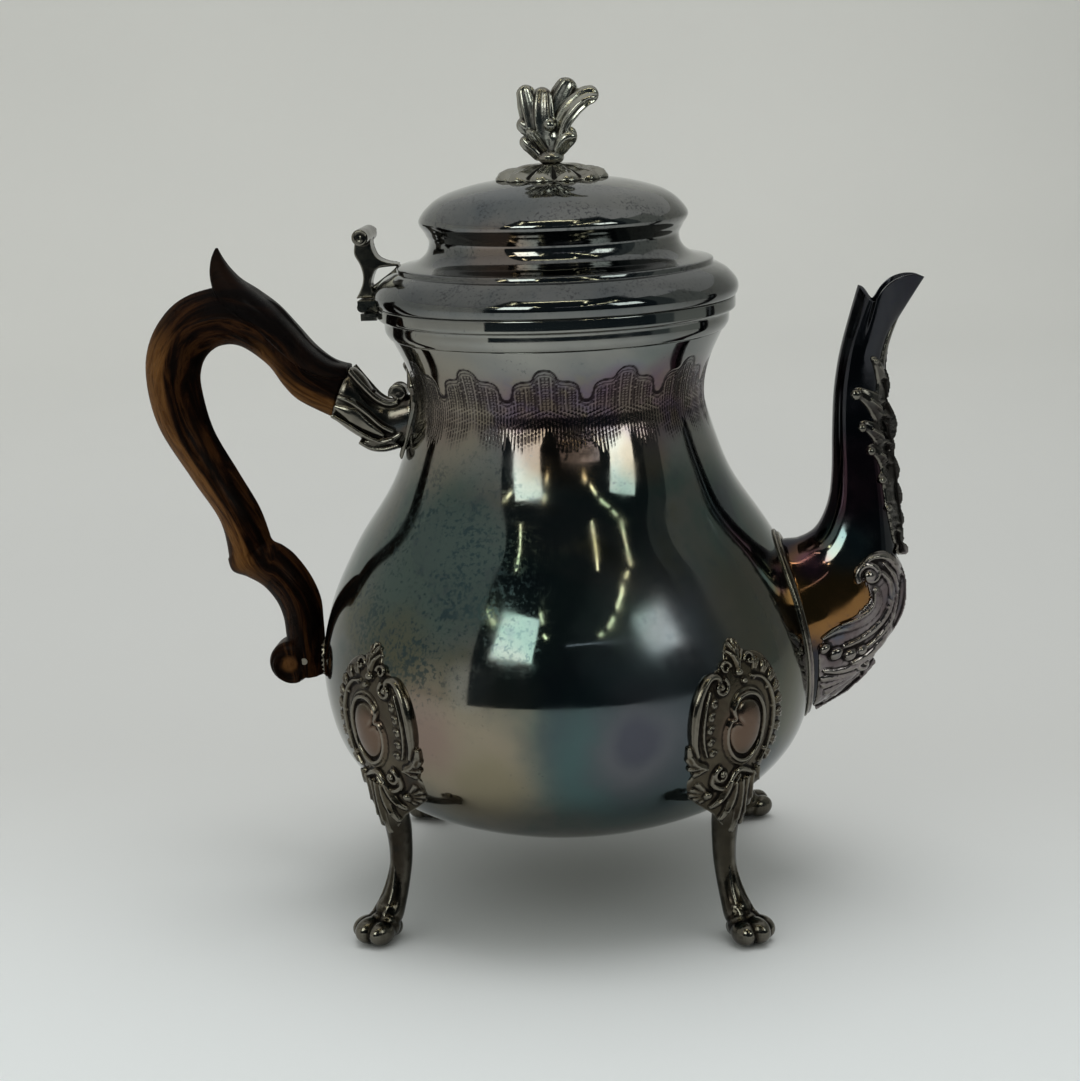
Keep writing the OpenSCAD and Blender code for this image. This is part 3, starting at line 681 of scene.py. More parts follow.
def paper_with_painted_shade():
    """Seamless studio paper with painted shade: palest in front, greyer behind and on its right,
    where the colour stands in for less light.
    """
    t = Tree("paper")
    reach = t.length(t.vector("MULTIPLY", t.place, (1, 1, 0)))
    # Painted shade: the paper is made greyer behind the pot, further out and towards the right,
    # standing in for light that falls off there.
    colour = t.mix(t.remap(t.y, -0.22, 0.16), (0.87, 0.905, 0.91), (0.64, 0.645, 0.63))
    colour = t.mix(t.remap(reach, 0.3, 1.7), colour, (0.80, 0.80, 0.77))
    colour = t.mix(t.remap(t.x, 0.0, 1.3, 0.0, 0.7), colour, (0.36, 0.365, 0.345))
    colour = t.mix(t.remap(t.noise(2.2, 3, 0.5), 0.35, 0.65, 0.0, 0.05), colour,
                   (0.5, 0.51, 0.50))
    return t.finish(colour, 0.85, t.noise(700, 2), 0.0001, 0.05)


SHEET = toned_silver()
CAST = cast_silver()
SPOUT = spout_silver()
WOOD = rosewood()


# ---------------------------------------------------------------- body

# Shares of the belly's radius and of the body's height
BODY_LINE = curve([[r * BELLY_R, BOTTOM_Z + z * (SPLIT_Z - BOTTOM_Z)] for r, z in (
    (0, 0), (0.36, 0.013), (0.61, 0.048), (0.8, 0.098), (0.945, 0.184), (1, 0.312), (0.96, 0.429),
    (0.844, 0.547), (0.682, 0.665), (0.595, 0.776), (0.577, 0.824), (0.6, 0.88), (0.66, 0.941))], 12)
BODY_TOP = BODY_LINE[-1]


def body_r(z):
    return np.interp(z, BODY_LINE[:, 1], BODY_LINE[:, 0])


def body_normal(z):
    """Outward radial and upward parts of the body's normal at height z."""
    slope = (body_r(np.asarray(z) + 0.5) - body_r(np.asarray(z) - 0.5))
    size = np.sqrt(1 + slope ** 2)
    return 1 / size, -slope / size


def on_body(y, z):
    """Distance of the belly's surface from the x = 0 plane at points beside the axis."""
    return np.sqrt(np.maximum(body_r(z) ** 2 - y ** 2, 1))


def lining():
    """Inner side of the wall, never past the axis or the wall's own top."""
    t = unit(np.gradient(BODY_LINE, axis=0))
    line = BODY_LINE + WALL * np.column_stack([-t[:, 1], t[:, 0]])
    line[:, 0] = np.maximum(line[:, 0], 0)
    line[:, 1] = np.minimum(line[:, 1], BODY_TOP[1])
    return line[::-3]


MOTIFS = 12
NECK_R = 47.0
HALF = math.pi * NECK_R / MOTIFS
BAND = (150.0, 177.4)
CUT_DEPTH = 0.17
# Scalloped edge of one engraved motif, from its middle out to the cup between two motifs
SCALLOP = [(0, 175.9), (1.6, 175.6), (2.9, 174.5), (3.6, 173.2), (4.4, 172.5), (6.2, 172.3),
           (8.2, 171.9), (9.6, 170.9), (10.1, 169.3), (10.4, 167.6), (11.1, 166.4), (HALF, 166.0)]


def distance(x, z, line):
    """Distance from points to a flat line of points."""
    best = np.full(x.shape, 1e9)
    for a, b in zip(line[:-1], line[1:]):
        d = b - a
        t = np.clip(((x - a[0]) * d[0] + (z - a[1]) * d[1]) / max(d @ d, 1e-9), 0, 1)
        best = np.minimum(best, np.hypot(x - a[0] - t * d[0], z - a[1] - t * d[1]))
    return best


def engraving(x, z):
    """How deep the graver went, from 0 to 1, at x from a motif's middle and height z."""
    u = np.abs(x)
    edge = curve(SCALLOP, 4)
    cup = np.array([[HALF + 1.9 * math.sin(a), 168.3 - 1.9 * math.cos(a)]
                    for a in np.linspace(-1.7, 1.7, 13)])
    border = 1 - step(0.22, 0.46, distance(u, z, edge))
    inner = 0.9 * (1 - step(0.14, 0.36, distance(u, z, edge - [0, 1.05])))
    cups = 1 - step(0.3, 0.6, distance(u, z, cup))
    top = np.interp(u, edge[:, 0], edge[:, 1]) - 1.6
    low = 154.5 + 2.6 * np.cos(u / HALF * math.pi * 2) - 2.4 * step(0.5, 1, u / HALF)
    low = low + 1.5 * np.sin(x * 2.7) * np.sin(x * 7.3 + 1)
    inside = step(top + 0.3, top - 0.5, z) * step(low - 2, low + 3, z)
    pitch = HALF / 11
    lane = np.round(u / pitch)
    beside = np.abs(u - lane * pitch)
    dash = np.abs(((z + lane * 0.43) % 1.3) - 0.65)
    strokes = (1 - step(0.2, 0.42, beside)) * step(0.62, 0.42, dash) * inside
    candle = np.minimum(np.abs(u), np.minimum(np.abs(u - 3.9), np.abs(u - 7.6)))
    brick = (1 - step(0.13, 0.3, np.abs((z % 0.85) - 0.42))) * inside
    brick = brick * step(1.3, 0.9, candle) * step(162, 166, z)
    rails = (1 - step(0.12, 0.32, np.abs(candle - 1.25))) * inside * step(163, 166, z)
    lines = [border, inner, cups, 0.95 * strokes, 0.95 * brick, 0.9 * rails]
    return np.clip(np.maximum.reduce(lines), 0, 1)


def body_piece():
    """Raised body with a turned-in wall; the neck's band is dense enough for its engraving."""
    per_motif = 70
    fine = MOTIFS * per_motif
    coarse = fine // 4
    heights = np.arange(BAND[0], BAND[1], 0.38)
    fine_a = -math.pi / 2 + np.arange(fine) * 2 * math.pi / fine
    coarse_a = fine_a[::4]
    x = ((np.arange(fine) + per_motif / 2) % per_motif - per_motif / 2) / per_motif * 2 * HALF
    cut = engraving(*np.meshgrid(x, heights))
    out, up = body_normal(heights)
    radius = body_r(heights)[:, None] - CUT_DEPTH * cut * out[:, None]
    z = heights[:, None] - CUT_DEPTH * cut * up[:, None]

    def ring(r, z, angles):
        return np.column_stack([r * np.cos(angles), r * np.sin(angles),
                                np.broadcast_to(z, angles.shape)])

    below = BODY_LINE[BODY_LINE[:, 1] < BAND[0] - 0.4]
    above = BODY_LINE[BODY_LINE[:, 1] > BAND[1] + 0.4]
    above = np.concatenate([above, lining()])
    band_start = len(below) * coarse
    upper_start = band_start + len(heights) * fine
    last_fine = upper_start - fine
    verts = [ring(r, h, coarse_a) for r, h in below]
    verts += [ring(radius[k], z[k], fine_a) for k in range(len(heights))]
    verts += [ring(r, h, coarse_a) for r, h in above]
    faces = grid_faces(len(below), coarse, wrap_cols=True)
    faces += grid_faces(len(heights), fine, wrap_cols=True, start=band_start)
    faces += grid_faces(len(above), coarse, wrap_cols=True, start=upper_start)
    for j in range(coarse):
        k = (j + 1) % coarse
        run = [(4 * j + i) % fine for i in range(5)]
        faces.append([band_start - coarse + j, band_start - coarse + k]
                     + [band_start + i for i in run[::-1]])
        faces.append([last_fine + i for i in run] + [upper_start + k, upper_start + j])
    verts = np.concatenate(verts)
    piece = new_piece("engraved_body", (verts, faces), SHEET, "pot",
                      "body_shell", weld=False)
    cuts = np.zeros(len(verts))
    cuts[band_start:upper_start] = cut.ravel()
    paint(piece, "cut", cuts)
    weld_mesh(piece.data, tidy=False)
    piece.data.shade_smooth()
    return piece


POUR_HOLE_R = 15.0
POUR_HOLE_Z = 88.0


def cut_pour_hole(piece):
    """Round hole in the belly wall behind the spout."""
    verts, faces = skin([[(x, POUR_HOLE_R * math.cos(a), POUR_HOLE_Z + POUR_HOLE_R * math.sin(a))
                          for a in circle(48)] for x in (60.0, 95.0)])
    mesh = bpy.data.meshes.new("drill")
    mesh.from_pydata(place(verts).tolist(), [], faces)
    drill = stand("drill", mesh)
    cutter = piece.modifiers.new("hole", "BOOLEAN")
    cutter.object = drill
    cutter.operation = "DIFFERENCE"
    cutter.solver = "EXACT"
    apply_modifiers(piece)
    bpy.data.objects.remove(drill)


def rim_piece():
    """Two-step moulding round the mouth."""
    bottom = BODY_TOP[1] + SEAT
    profile = [[MOUTH_R, SPLIT_Z - 0.3], [MOUTH_R, bottom + 1.5], [BODY_TOP[0] - WALL, bottom]]
    step_line = [[BODY_TOP[0] + 0.6, bottom], [BODY_TOP[0] + 1.7, bottom + 2],
                 [RIM_R - 2, bottom + 5]]
    step_line += [[RIM_R - back, SPLIT_Z - drop] for back, drop in (
        (1.75, 4.9), (1.6, 4.6), (0.7, 4.35), (0.15, 3.8), (0, 3.2), (0, 1.0), (0.1, 0.4), (0.5, 0))]
    profile += curve(step_line, 5).tolist()
    profile += [[MOUTH_R + 0.4, SPLIT_Z], [MOUTH_R + 0.1, SPLIT_Z - 0.1]]
    new_piece("mouth_rim", lathe(profile, 240), SHEET, "pot", "neck_rim")


# ---------------------------------------------------------------- lid

DOME_Z = SPLIT_Z + 26
DOME_TOP = SPLIT_Z + 38
DOME_R = 42.1
ROSETTE_R = 17.4
FINIAL_Z = DOME_TOP + 4.6
LID_FLANGE = curve([[FLANGE_R - back, LID_Z + z] for back, z in (
    (2, 0), (0.8, 0), (0, 2.2), (0.6, 4.6), (3.2, 7.6), (6.6, 9.6))], 6)
LID_STEP = [[49.95, LID_Z + 9.85], [49.7, LID_Z + 10.1], [49.7, LID_Z + 11.1], [49.5, LID_Z + 11.4]]
LID_DOME = curve([[49, LID_Z + 11.6], [43.4, LID_Z + 13], [40.2, LID_Z + 15.6],
                  [39.2, LID_Z + 19], [DOME_R - 1.7, DOME_Z - 4], [DOME_R, DOME_Z],
                  [DOME_R - 4.8, DOME_Z + 5.5], [DOME_R - 12.5, DOME_Z + 8.8],
                  [ROSETTE_R, DOME_TOP - 0.8], [0, DOME_TOP]], 10)
LID_LINING = curve([[FLANGE_R - 2, LID_Z + 1], [FLANGE_R - 1.4, LID_Z + 2.6],
                    [FLANGE_R - 4.6, LID_Z + 6.4], [47.4, LID_Z + 9.8], [42, LID_Z + 12],
                    [38.6, LID_Z + 15.6], [37.9, LID_Z + 19], [DOME_R - 3.2, DOME_Z - 3.4],
                    [DOME_R - 1.4, DOME_Z], [DOME_R - 5.8, DOME_Z + 4.6],
                    [DOME_R - 13, DOME_Z + 7.6], [ROSETTE_R, DOME_TOP - 2.1],
                    [0, DOME_TOP - 1.3]], 5)
LID_LINE = np.concatenate([LID_FLANGE, LID_STEP, LID_DOME])


def dome_height(r):
    top = LID_LINE[LID_LINE[:, 1] > DOME_Z][::-1]
    return np.interp(r, top[:, 0], top[:, 1])


def lid_piece():
    """Stepped and domed lid with its hollow underside."""
    profile = np.concatenate([LID_LINE, LID_LINING[::-1]])
    new_piece("stepped_lid", lathe(profile, 240), SHEET, "lid", "lid_shell")


def collar_piece():
    """Collar under the lid that drops into the mouth."""
    r = MOUTH_R - 0.9
    low = LID_Z - 6
    top = LID_Z + 1 - SEAT
    reach = FLANGE_R - 2 - SEAT
    profile = [[r - 1.1, low + 0.3], [r - 0.8, low], [r - 0.3, low], [r, low + 0.3], [r, LID_Z],
               [reach, LID_Z], [reach, top], [r - 1.1, top]]
    new_piece("lid_collar", lathe(profile), SHEET, "lid", "lid_bezel")


def rosette_piece():
    """Disc of eleven veined lobes under the finial."""
    lobes = 11
    a = circle(220)
    wave = np.abs(np.cos(a * lobes / 2))
    edge = ROSETTE_R - 2.6 + 2.9 * wave ** 0.6

    def ring(f, height):
        r = edge * f
        return np.column_stack([r * np.cos(a), r * np.sin(a), dome_height(r) + height])

    rings = []
    for f in np.linspace(0.12, 1, 26):
        crown = 3.3 * (1 - f ** 1.5) + 0.9 * np.sin(math.pi * min(f * 1.15, 1))
        ridge = 1.15 * step(0.25, 0.6, f) * (wave ** 1.5 - 0.5) * (1 - step(0.9, 1, f) * 0.4)
        vein = -0.5 * step(0.3, 0.55, f) * np.exp(-(np.sin(a * lobes / 2) / 0.2) ** 2)
        lip = 1.25 * wave * step(0.62, 0.86, f) * (1 - step(0.93, 1, f))
        rings.append(ring(f, 0.5 + crown + ridge + vein + lip))
    rings += [ring(f, SEAT) for f in (1.0, 0.97, 0.6, 0.12)]
    piece = new_piece("lobed_rosette", skin(rings), CAST, "lid", "finial_rosette")
    hollows(piece)


def bud_leaf(points, wide, turn=0.0, ribs=3, facing=(0, -1, 0)):
    """Fleshy ribbed leaf along a curve in space; facing is the side its veins look to."""
    line = even(curve(points, 8), 26)
    w = spread(wide, len(line))

    def ribbed(a, s):
        return 1 + 0.16 * np.cos(a * 2 * ribs) * step(0.05, 0.3, s)

    limb = round_ends(line, w, np.maximum(w * 0.5, 0.6), 7)
    verts, faces = sweep(*limb, up=facing, sides=36, section=ribbed)
    return turned(verts, math.radians(turn)), faces


def finial_piece():
    """Open leaf bud: two tall lobes on the left, two thrown to the right, curls and a bead."""
    z = FINIAL_Z
    stem = np.interp(np.linspace(0, 1, 14), [0, 0.15, 0.6, 1], [3.2, 2.6, 3.4, 2.4])
    shapes = [sweep([[0, 0, z + t] for t in np.linspace(0, 12, 14)], stem, sides=20),
              blob((0.2, -3.0, z + 11.2), (2.0, 1.9, 2.2)),
              blob((0, 0, z + 1.2), (4.2, 4.0, 2.6)),
              bud_leaf([(-1.4, -0.6, z + 1), (-3.8, -1.2, z + 8), (-5.8, -1.4, z + 15.4),
                        (-7.6, -1, z + 23.6)], [1.6, 3.1, 3.4, 3.1, 2.2]),
              bud_leaf([(-0.6, -1.6, z + 2), (-1.7, -2.4, z + 9), (-2.1, -2.4, z + 16),
                        (-1.8, -1.2, z + 22.8)], [1.4, 2.8, 3.4, 3.2, 2.3])]
    for tip, w in (((-9.8, -1.4, z + 12.9), 1.9), ((-9.0, -1.0, z + 7.6), 1.6),
                   ((-8.2, -1.6, z + 18.4), 1.7)):
        points = [(-2.6, -1.2, tip[2] - 7), (-5.6, -1.5, tip[2] - 3.4), tip]
        shapes.append(bud_leaf(points, [1.6, w * 1.1, w * 1.25, w], ribs=2))
    shapes += [bud_leaf([(1.2, 0.6, z + 3), (2.2, 1.2, z + 12), (3.8, 1.2, z + 19),
                         (7.2, 0.4, TOTAL_H - 0.4)], [1.6, 2.8, 3.3, 3.5, 2.7]),
               bud_leaf([(1.6, -0.8, z + 3), (3.4, -1.4, z + 11), (7.4, -1.6, z + 16.6),
                         (11.6, -1.4, z + 19.6), (15.6, -1.0, z + 19.9)],
                        [1.6, 2.9, 3.5, 3.5, 2.5], facing=(-0.4, -1, 0.5)),
               bud_leaf([(1.2, -1.0, z + 1), (2.8, -1.8, z + 4.4), (5.2, -2, z + 7.2),
                         (8.6, -1.6, z + 7.4)], [1.7, 2.6, 3.0, 2.6], ribs=2)]
    for turn, reach, tall, w in ((70, 7.5, 19, 2.6), (118, 8.5, 14, 2.5), (215, 8, 10, 2.2),
                                 (150, 7, 21, 2.6), (30, 8.5, 9.5, 2.1), (92, 7, 8, 2.0)):
        points = [(1, 0, z + 1.5), (reach * 0.45, 0, z + tall * 0.5),
                  (reach * 0.8, 0, z + tall * 0.85), (reach, 0, z + tall)]
        shapes.append(bud_leaf(points, [1.4, w, w * 1.15, w * 0.85], turn, facing=(1, 0, -0.3)))
    cast("leaf_finial", join(*shapes), "finial", 0.22, 2, body="lid")


def rounded(name, edge, width, rounding, extra):
    """Mesh of a side outline [x, z] given a width along y and soft edges, with more shapes."""
    mesh = bpy.data.meshes.new(name)
    bm = bmesh.new()
    front, back = ([bm.verts.new(place((x, y, z))) for x, z in edge]
                   for y in (-width / 2, width / 2))
    n = len(edge)
    bm.faces.new(front[::-1])
    bm.faces.new(back)
    for k in range(n):
        bm.faces.new((front[k], front[(k + 1) % n], back[(k + 1) % n], back[k]))
    bm.normal_update()
    sharp = [e for e in bm.edges if abs(e.verts[0].co.y - e.verts[1].co.y) < 1e-9]
    bmesh.ops.bevel(bm, geom=sharp, offset=rounding * MM, segments=4, profile=0.6,
                    affect="EDGES")
    for verts, faces in extra:
        points = [bm.verts.new(v) for v in place(verts)]
        for face in faces:
            bm.faces.new([points[k] for k in face])
    bmesh.ops.recalc_face_normals(bm, faces=bm.faces)
    bm.to_mesh(mesh)
    bm.free()
    mesh.materials.append(CAST)
    mesh.shade_smooth()
    return mesh


def barrel(x, z, r, length, cap=0.5, sides=40):
    """Bar along y with eased ends."""
    half = length / 2
    rows = [(-half, r - cap), (-half + cap * 0.3, r - cap * 0.3), (-half + cap, r), (half - cap, r),
            (half - cap * 0.3, r - cap * 0.3), (half, r - cap)]
    a = circle(sides)
    return skin([np.column_stack([x + q * np.cos(a), np.full(sides, y), z + q * np.sin(a)])
                 for y, q in rows])


def thumbpiece_piece():
    """S-scroll lever whose top is rolled into a cross barrel."""
    bx, bz = -60.0, 213.4
    back = curve([[bx - 2.4, bz - 0.2], [bx - 2.9, bz - 3], [-63.0, 207.6], [-61.4, 204.4],
                  [-60.6, 201.2], [-60.9, 198.4], [-62.2, 195.4], [-63.2, LID_Z + 1.7]], 6)
    front = curve([[-57.9, LID_Z + 5.4], [-58.3, 198.2], [-57.6, 200.8], [-56.2, 202.9],
                   [-53.4, 203.5], [-49.6, 203.7]], 5)
    inner = curve([[-49.4, 204.4], [-53.0, 205.0], [-55.8, 206.4], [-57.2, 208.8], [-57.7, 211.2],
                   [bx + 2.4, bz + 0.4]], 6)
    foot = [[-57.4, LID_Z + 1.7], [-57.5, LID_Z + 3.4]]
    strut = sweep(curve([[-57.9, 0, 196.6], [-54.4, 0, 199.2], [-51.0, 0, 201.6],
                         [-49.0, 0, 203.6]], 6), 2.2, 0.75, up=(-0.6, 0, 0.8), sides=14)
    curl = volute((bx, bz), 2.2, 1.1, 20, 0.28, 0.28)
    mesh = rounded("scroll_thumbpiece", np.concatenate([back, foot, front, inner]), 7.0, 0.7,
                   [strut, barrel(bx, bz, 2.6, 19), upright(curl, -9.5), upright(curl, 9.5)])
    piece = enlist("scroll_thumbpiece", mesh, "lid", "thumbpiece")
    fuse(piece, 0.2, 2)
    hollows(piece)


# ---------------------------------------------------------------- handle

# Outer point, inner point and half thickness of the wood, from the socket to the foot
HANDLE = [[-67.4, 171.6, -73.7, 155.7, 6.6], [-77.5, 178.4, -83.9, 161.1, 7.4],
          [-83.5, 185.8, -88.7, 166, 7.6], [-90, 193, -93.6, 173, 8],
          [-103, 198.2, -101.6, 179, 8.2], [-114.6, 197.2, -108, 179.6, 8.4],
          [-124, 192.4, -112.6, 177, 8.6], [-131.4, 182.4, -115.2, 172.4, 8.6],
          [-133.8, 170, -115.6, 166, 8.6], [-130.8, 153.6, -112.6, 152.4, 8.4],
          [-120.8, 135.8, -105.4, 138.4, 8], [-112.4, 121.4, -99.2, 126.6, 7.6],
          [-110.2, 106.4, -96.2, 117, 7.4]]
FOOT = [[-111.0, 109.4, -97.4, 120.0, 6.3], [-109.6, 105.2, -95.6, 115.6, 6.9],
        [-104.8, 103.2, -92.4, 113.8, 7.0],
        [-99.6, 100, -88.4, 110.4, 7], [-95.6, 94.8, -83.6, 103.4, 6.8],
        [-93.6, 89, -80.8, 96, 6.6], [-93, 82, -80.3, 88.6, 6.5],
        [-91.6, 74.4, -80.2, 78, 6.4], [-90.6, 69.8, -80.4, 70.2, 5.8]]
FOOT_FACE = -81.6
FOOT_Z = 76.0
TENON = (-70.55, 163.65)
TENON_TILT = math.radians(22)


def carved(stations, sides, crease):
    """Limb whose section is a soft lozenge, with an arris down the middle of each side."""
    a = circle(sides)
    t = np.cos(a)
    across = (1 - np.abs(t) ** crease) ** (1 / crease) * np.sign(np.sin(a))
    rings = []
    for s in curve(stations, 8):
        outer, inner = s[:2], s[2:4]
        xz = (outer + inner) / 2 + (outer - inner) / 2 * t[:, None]
        rings.append(np.column_stack([xz[:, 0], s[4] * across, xz[:, 1]]))
    return skin(rings)


def figure_lines(piece):
    """Stores where each point lies across the wood (0 outside, 1 inside) and along its run."""
    rows = np.array(curve(HANDLE[:-1] + FOOT[2:], 40))
    mid = (rows[:, 0:2] + rows[:, 2:4]) / 2
    width = np.linalg.norm(rows[:, 2:4] - rows[:, 0:2], axis=1)
    run = lengths(mid)
    co = read(piece.data.vertices, "co", 3) / MM - [AXIS_X / MM, 0, 0]
    across, along = [], []
    for part in np.array_split(co[:, [0, 2]], 64):
        away = np.linalg.norm(part[:, None] - mid[None], axis=2)
        k = away.argmin(axis=1)
        inward = (rows[k, 2:4] - rows[k, 0:2]) / width[k][:, None] ** 2
        across.append(((part - rows[k, 0:2]) * inward).sum(axis=1))
        along.append(run[k] / run[-1])
    paint(piece, "across", np.clip(np.concatenate(across), 0, 1))
    paint(piece, "run", np.concatenate(along))


def handle_piece():
    """S-scroll handle: thumb spur, raised leaf down to the socket, stepped lower limb, end scroll."""
    ridge = curve([[-66.8, 172.2, 5.9, 1.9], [-72.6, 173.8, 8.2, 2.9], [-78.4, 178.2, 9.4, 3.7],
                   [-84.4, 185.2, 9.8, 4.3], [-90.0, 191.6, 9.7, 4.5], [-96.4, 196.8, 8.8, 4.7],
                   [-100.4, 199.8, 6.6, 4.9], [-103.6, 203.5, 4.6, 3.8],
                   [-105.9, 207.4, 2.6, 2.2], [-107.4, 211.0, 0.5, 0.35]], 8)
    path = np.column_stack([ridge[:, 0], 0 * ridge[:, 0], ridge[:, 1]])
    tangent, _, _ = frames(path, up=(0, 1, 0))
    inward = np.cross(tangent, (0, 1, 0))
    inward *= -np.sign(inward[:, 2:3] + 1e-9)
    centre = path + inward * ridge[:, 3:4] * 0.9

    def squared(a, s):
        return (np.abs(np.cos(a)) ** 3.4 + np.abs(np.sin(a)) ** 3.4) ** (-1 / 3.4)

    x, z = FOOT_SCROLL
    shapes = [carved(HANDLE, 64, 1.3), carved(FOOT, 64, 1.35),
              sweep(centre, ridge[:, 3], ridge[:, 2], up=(0, 1, 0), sides=48, section=squared),
              barrel(x, z, FOOT_SCROLL_R, 13.4, 2.4, 48)]
    for side in (-1, 1):
        shapes.append(upright(volute(FOOT_SCROLL, 5.4, 1.2, -60, 0.9, 0.75, way=-1), 6.7, side))
        shapes.append(blob((x, side * 6.5, z), (2.2, 1.2, 2.2), sides=20))
    tenon = np.array([math.cos(TENON_TILT), 0, -math.sin(TENON_TILT)])
    start = np.array([TENON[0], 0, TENON[1]])
    shapes.append(sweep([start + tenon * d for d in (-2, 2, 6, 10.8)], 4.8, sides=32))
    piece = new_piece("carved_handle", join(*shapes), WOOD, "pot", "handle")
    fuse(piece, 0.41, 1)
    hollows(piece)
    figure_lines(piece)


SOCKET = [[-73.4, 155.4, -67.1, 171.6, 7.0], [-71.6, 154.0, -65.2, 171.4, 7.3],
          [-68.4, 151.4, -62.2, 168.2, 7.0], [-65.2, 149.2, -59.8, 164.4, 6.4],
          [-61.6, 147.0, -56.9, 161.8, 5.6], [-57.4, 145.6, -53.8, 160.8, 5.0],
          [-50.6, 146.4, -49.8, 161.8, 4.9], [-47.6, 147.2, -47.4, 162.6, 5.0]]
SOCKET_CURL = (-51.2, 163.3)
# Mouldings along each flank of the socket: points [x, y, z] and radius
SOCKET_LINES = (([[-66.4, 5.2, 171.4], [-62.6, 5.0, 166.6], [-58.4, 4.2, 162.0],
                  [-54.4, 3.6, 160.0], [-51.4, 3.2, 160.6]], 0.85),
                ([[-70.2, 7.3, 163.4], [-66.0, 7.4, 161.6], [-61.4, 6.4, 157.8],
                  [-57.0, 5.3, 153.4], [-53.0, 4.9, 151.2]], 0.75),
                ([[-72.6, 6.4, 157.2], [-67.6, 6.6, 154.2], [-62.4, 5.8, 150.4],
                  [-57.4, 4.8, 148.0], [-52.6, 4.4, 147.8]], 0.8))
SOCKET_PANEL = [[-71.4, 6.6, 160.2], [-66.4, 7.2, 157.8], [-61.2, 6.2, 153.6], [-56.2, 5.0, 150.2]]


def socket_piece():
    """Cast horn: hollow-backed upper side, framed leaf panel, rolled lip below, volute on top."""
    shapes = [carved(SOCKET, 48, 2.1)]
    for side in (-1, 1):
        flank = [1, side, 1]
        for points, r in SOCKET_LINES:
            shapes.append(sweep(curve(points, 6) * flank, r, sides=10))
        panel = curve(SOCKET_PANEL, 6) * flank
        wide = np.interp(np.linspace(0, 1, len(panel)), [0, 0.4, 1], [0.8, 2.5, 0.7])
        shapes.append(sweep(panel, wide, 1.0, up=(0, 1, 0), sides=14))
        shapes.append(upright(volute(SOCKET_CURL, 2.6, 1.3, 200, 0.75, 0.7, way=-1), 2.6, side))
        shapes.append(upright(frond((-62.6, 148.4), (-50.6, 150.6), -0.12, 1.5, 1.0), 4.3, side))
    lip = curve([[-64.4, 0, 148.2], [-60.6, 0, 146.0], [-56.4, 0, 145.6], [-51.6, 0, 146.8]], 6)
    shapes += [barrel(*SOCKET_CURL, 2.6, 6.4, 0.8, 28),
               sweep(lip, 1.5, 5.0, up=(0, 1, 0), sides=20),
               barrel(-62.0, 147.4, 1.5, 8.0, 0.5, 20)]
    cast("horn_socket", join(*shapes), "handle_socket", 0.26, 2)


def wrap_body(shape, turn, lift):
    """Flat ornament (sideways, height z, height above the silver) laid on the body at an angle."""
    s, z, h = np.asarray(shape[0], float).T
    out, up = body_normal(z)
    r = body_r(z)
    a = math.radians(turn) + s / r
    radius = r + (h + lift) * out
    verts = np.column_stack([radius * np.cos(a), radius * np.sin(a), z + (h + lift) * up])
    return verts, shape[1]


def backplate_piece():
    """Shield on the neck: fluted shell above, smooth tapering leaf with a raised rim below."""
    rim = [(0, 141.2), (1.8, 144.6), (4.2, 149.6), (6.6, 155.4), (7.6, 160.6), (7.4, 163.6),
           (7.9, 166.2), (6.6, 168.6), (5.6, 170.6), (3.8, 171.6), (2.4, 173.0), (0, 173.6)]
    edge = outline(rim + [(-x, z) for x, z in rim[-2:0:-1]], 5, 120)

    def height(x, z, f):
        rim_lift = 0.5 * step(0.78, 0.9, f) * (1 - step(0.93, 1.0, f))
        bowl = 0.55 + 0.35 * (1 - f ** 2)
        a = np.arctan2(x, z - 158.0)
        flute = 0.42 * np.cos(a * 9) * step(162.5, 165, z) * step(0.1, 0.5, f)
        return np.where(f > 0.985, 0.25, bowl + rim_lift + flute)

    shape = join(plate(edge, height, (0, 158.5), 26),
                 stroke([(0, 143.4), (0, 149), (0, 155)], [0.25, 0.5, 0.3], [0.3, 0.5, 0.4], 0.9),
                 stroke([(-6.6, 163.2), (-3.4, 162.0), (0, 161.7), (3.4, 162.0), (6.6, 163.2)],
                        [0.5, 0.7, 0.5], [0.5, 0.8, 0.5], 0.7))
    cast("fluted_backplate", wrap_body(shape, 180, SEAT + 0.35), "handle_backplate", 0.22)


def belly_plate_piece():
    """Small oval plate with a beaded edge where the wood meets the belly."""
    beads = 22
    a = circle(64)
    edge = np.column_stack([5.0 * np.cos(a), FOOT_Z + 6.4 * np.sin(a)])
    drop = -FOOT_FACE - BELLY_R
    shapes = [plate(edge, lambda x, z, f: (drop - 0.25) * (1 - 0.55 * step(0.72, 0.95, f)),
                    (0, FOOT_Z), 12)]
    for b in circle(beads):
        shapes.append(blob((4.4 * math.cos(b), FOOT_Z + 5.8 * math.sin(b), 1.0),
                           (0.62, 0.62, 0.6), sides=10))
    cast("belly_plate", wrap_body(join(*shapes), 180, 0.3), "handle_lower_plate", 0.2)


# ---------------------------------------------------------------- spout

# Rear point, front point and half width of the swan neck, from the belly up
SPOUT_LINE = curve([[73.4, 113, 78.4, 57.6, 17], [77.4, 114.6, 88, 64, 15.4],
                    [80.4, 117, 98, 74, 13.6], [83, 121.6, 104.6, 88, 11.6],
                    [84.8, 127.6, 106.2, 104, 9.6], [85.6, 136, 104.2, 124, 7.8],
                    [85.8, 147, 101.6, 143, 6.6], [86.4, 160, 100.8, 158, 6],
                    [87.8, 170, 101.4, 169, 6.0], [89.4, 177.0, 103.2, 176.4, 6.2]], 10)
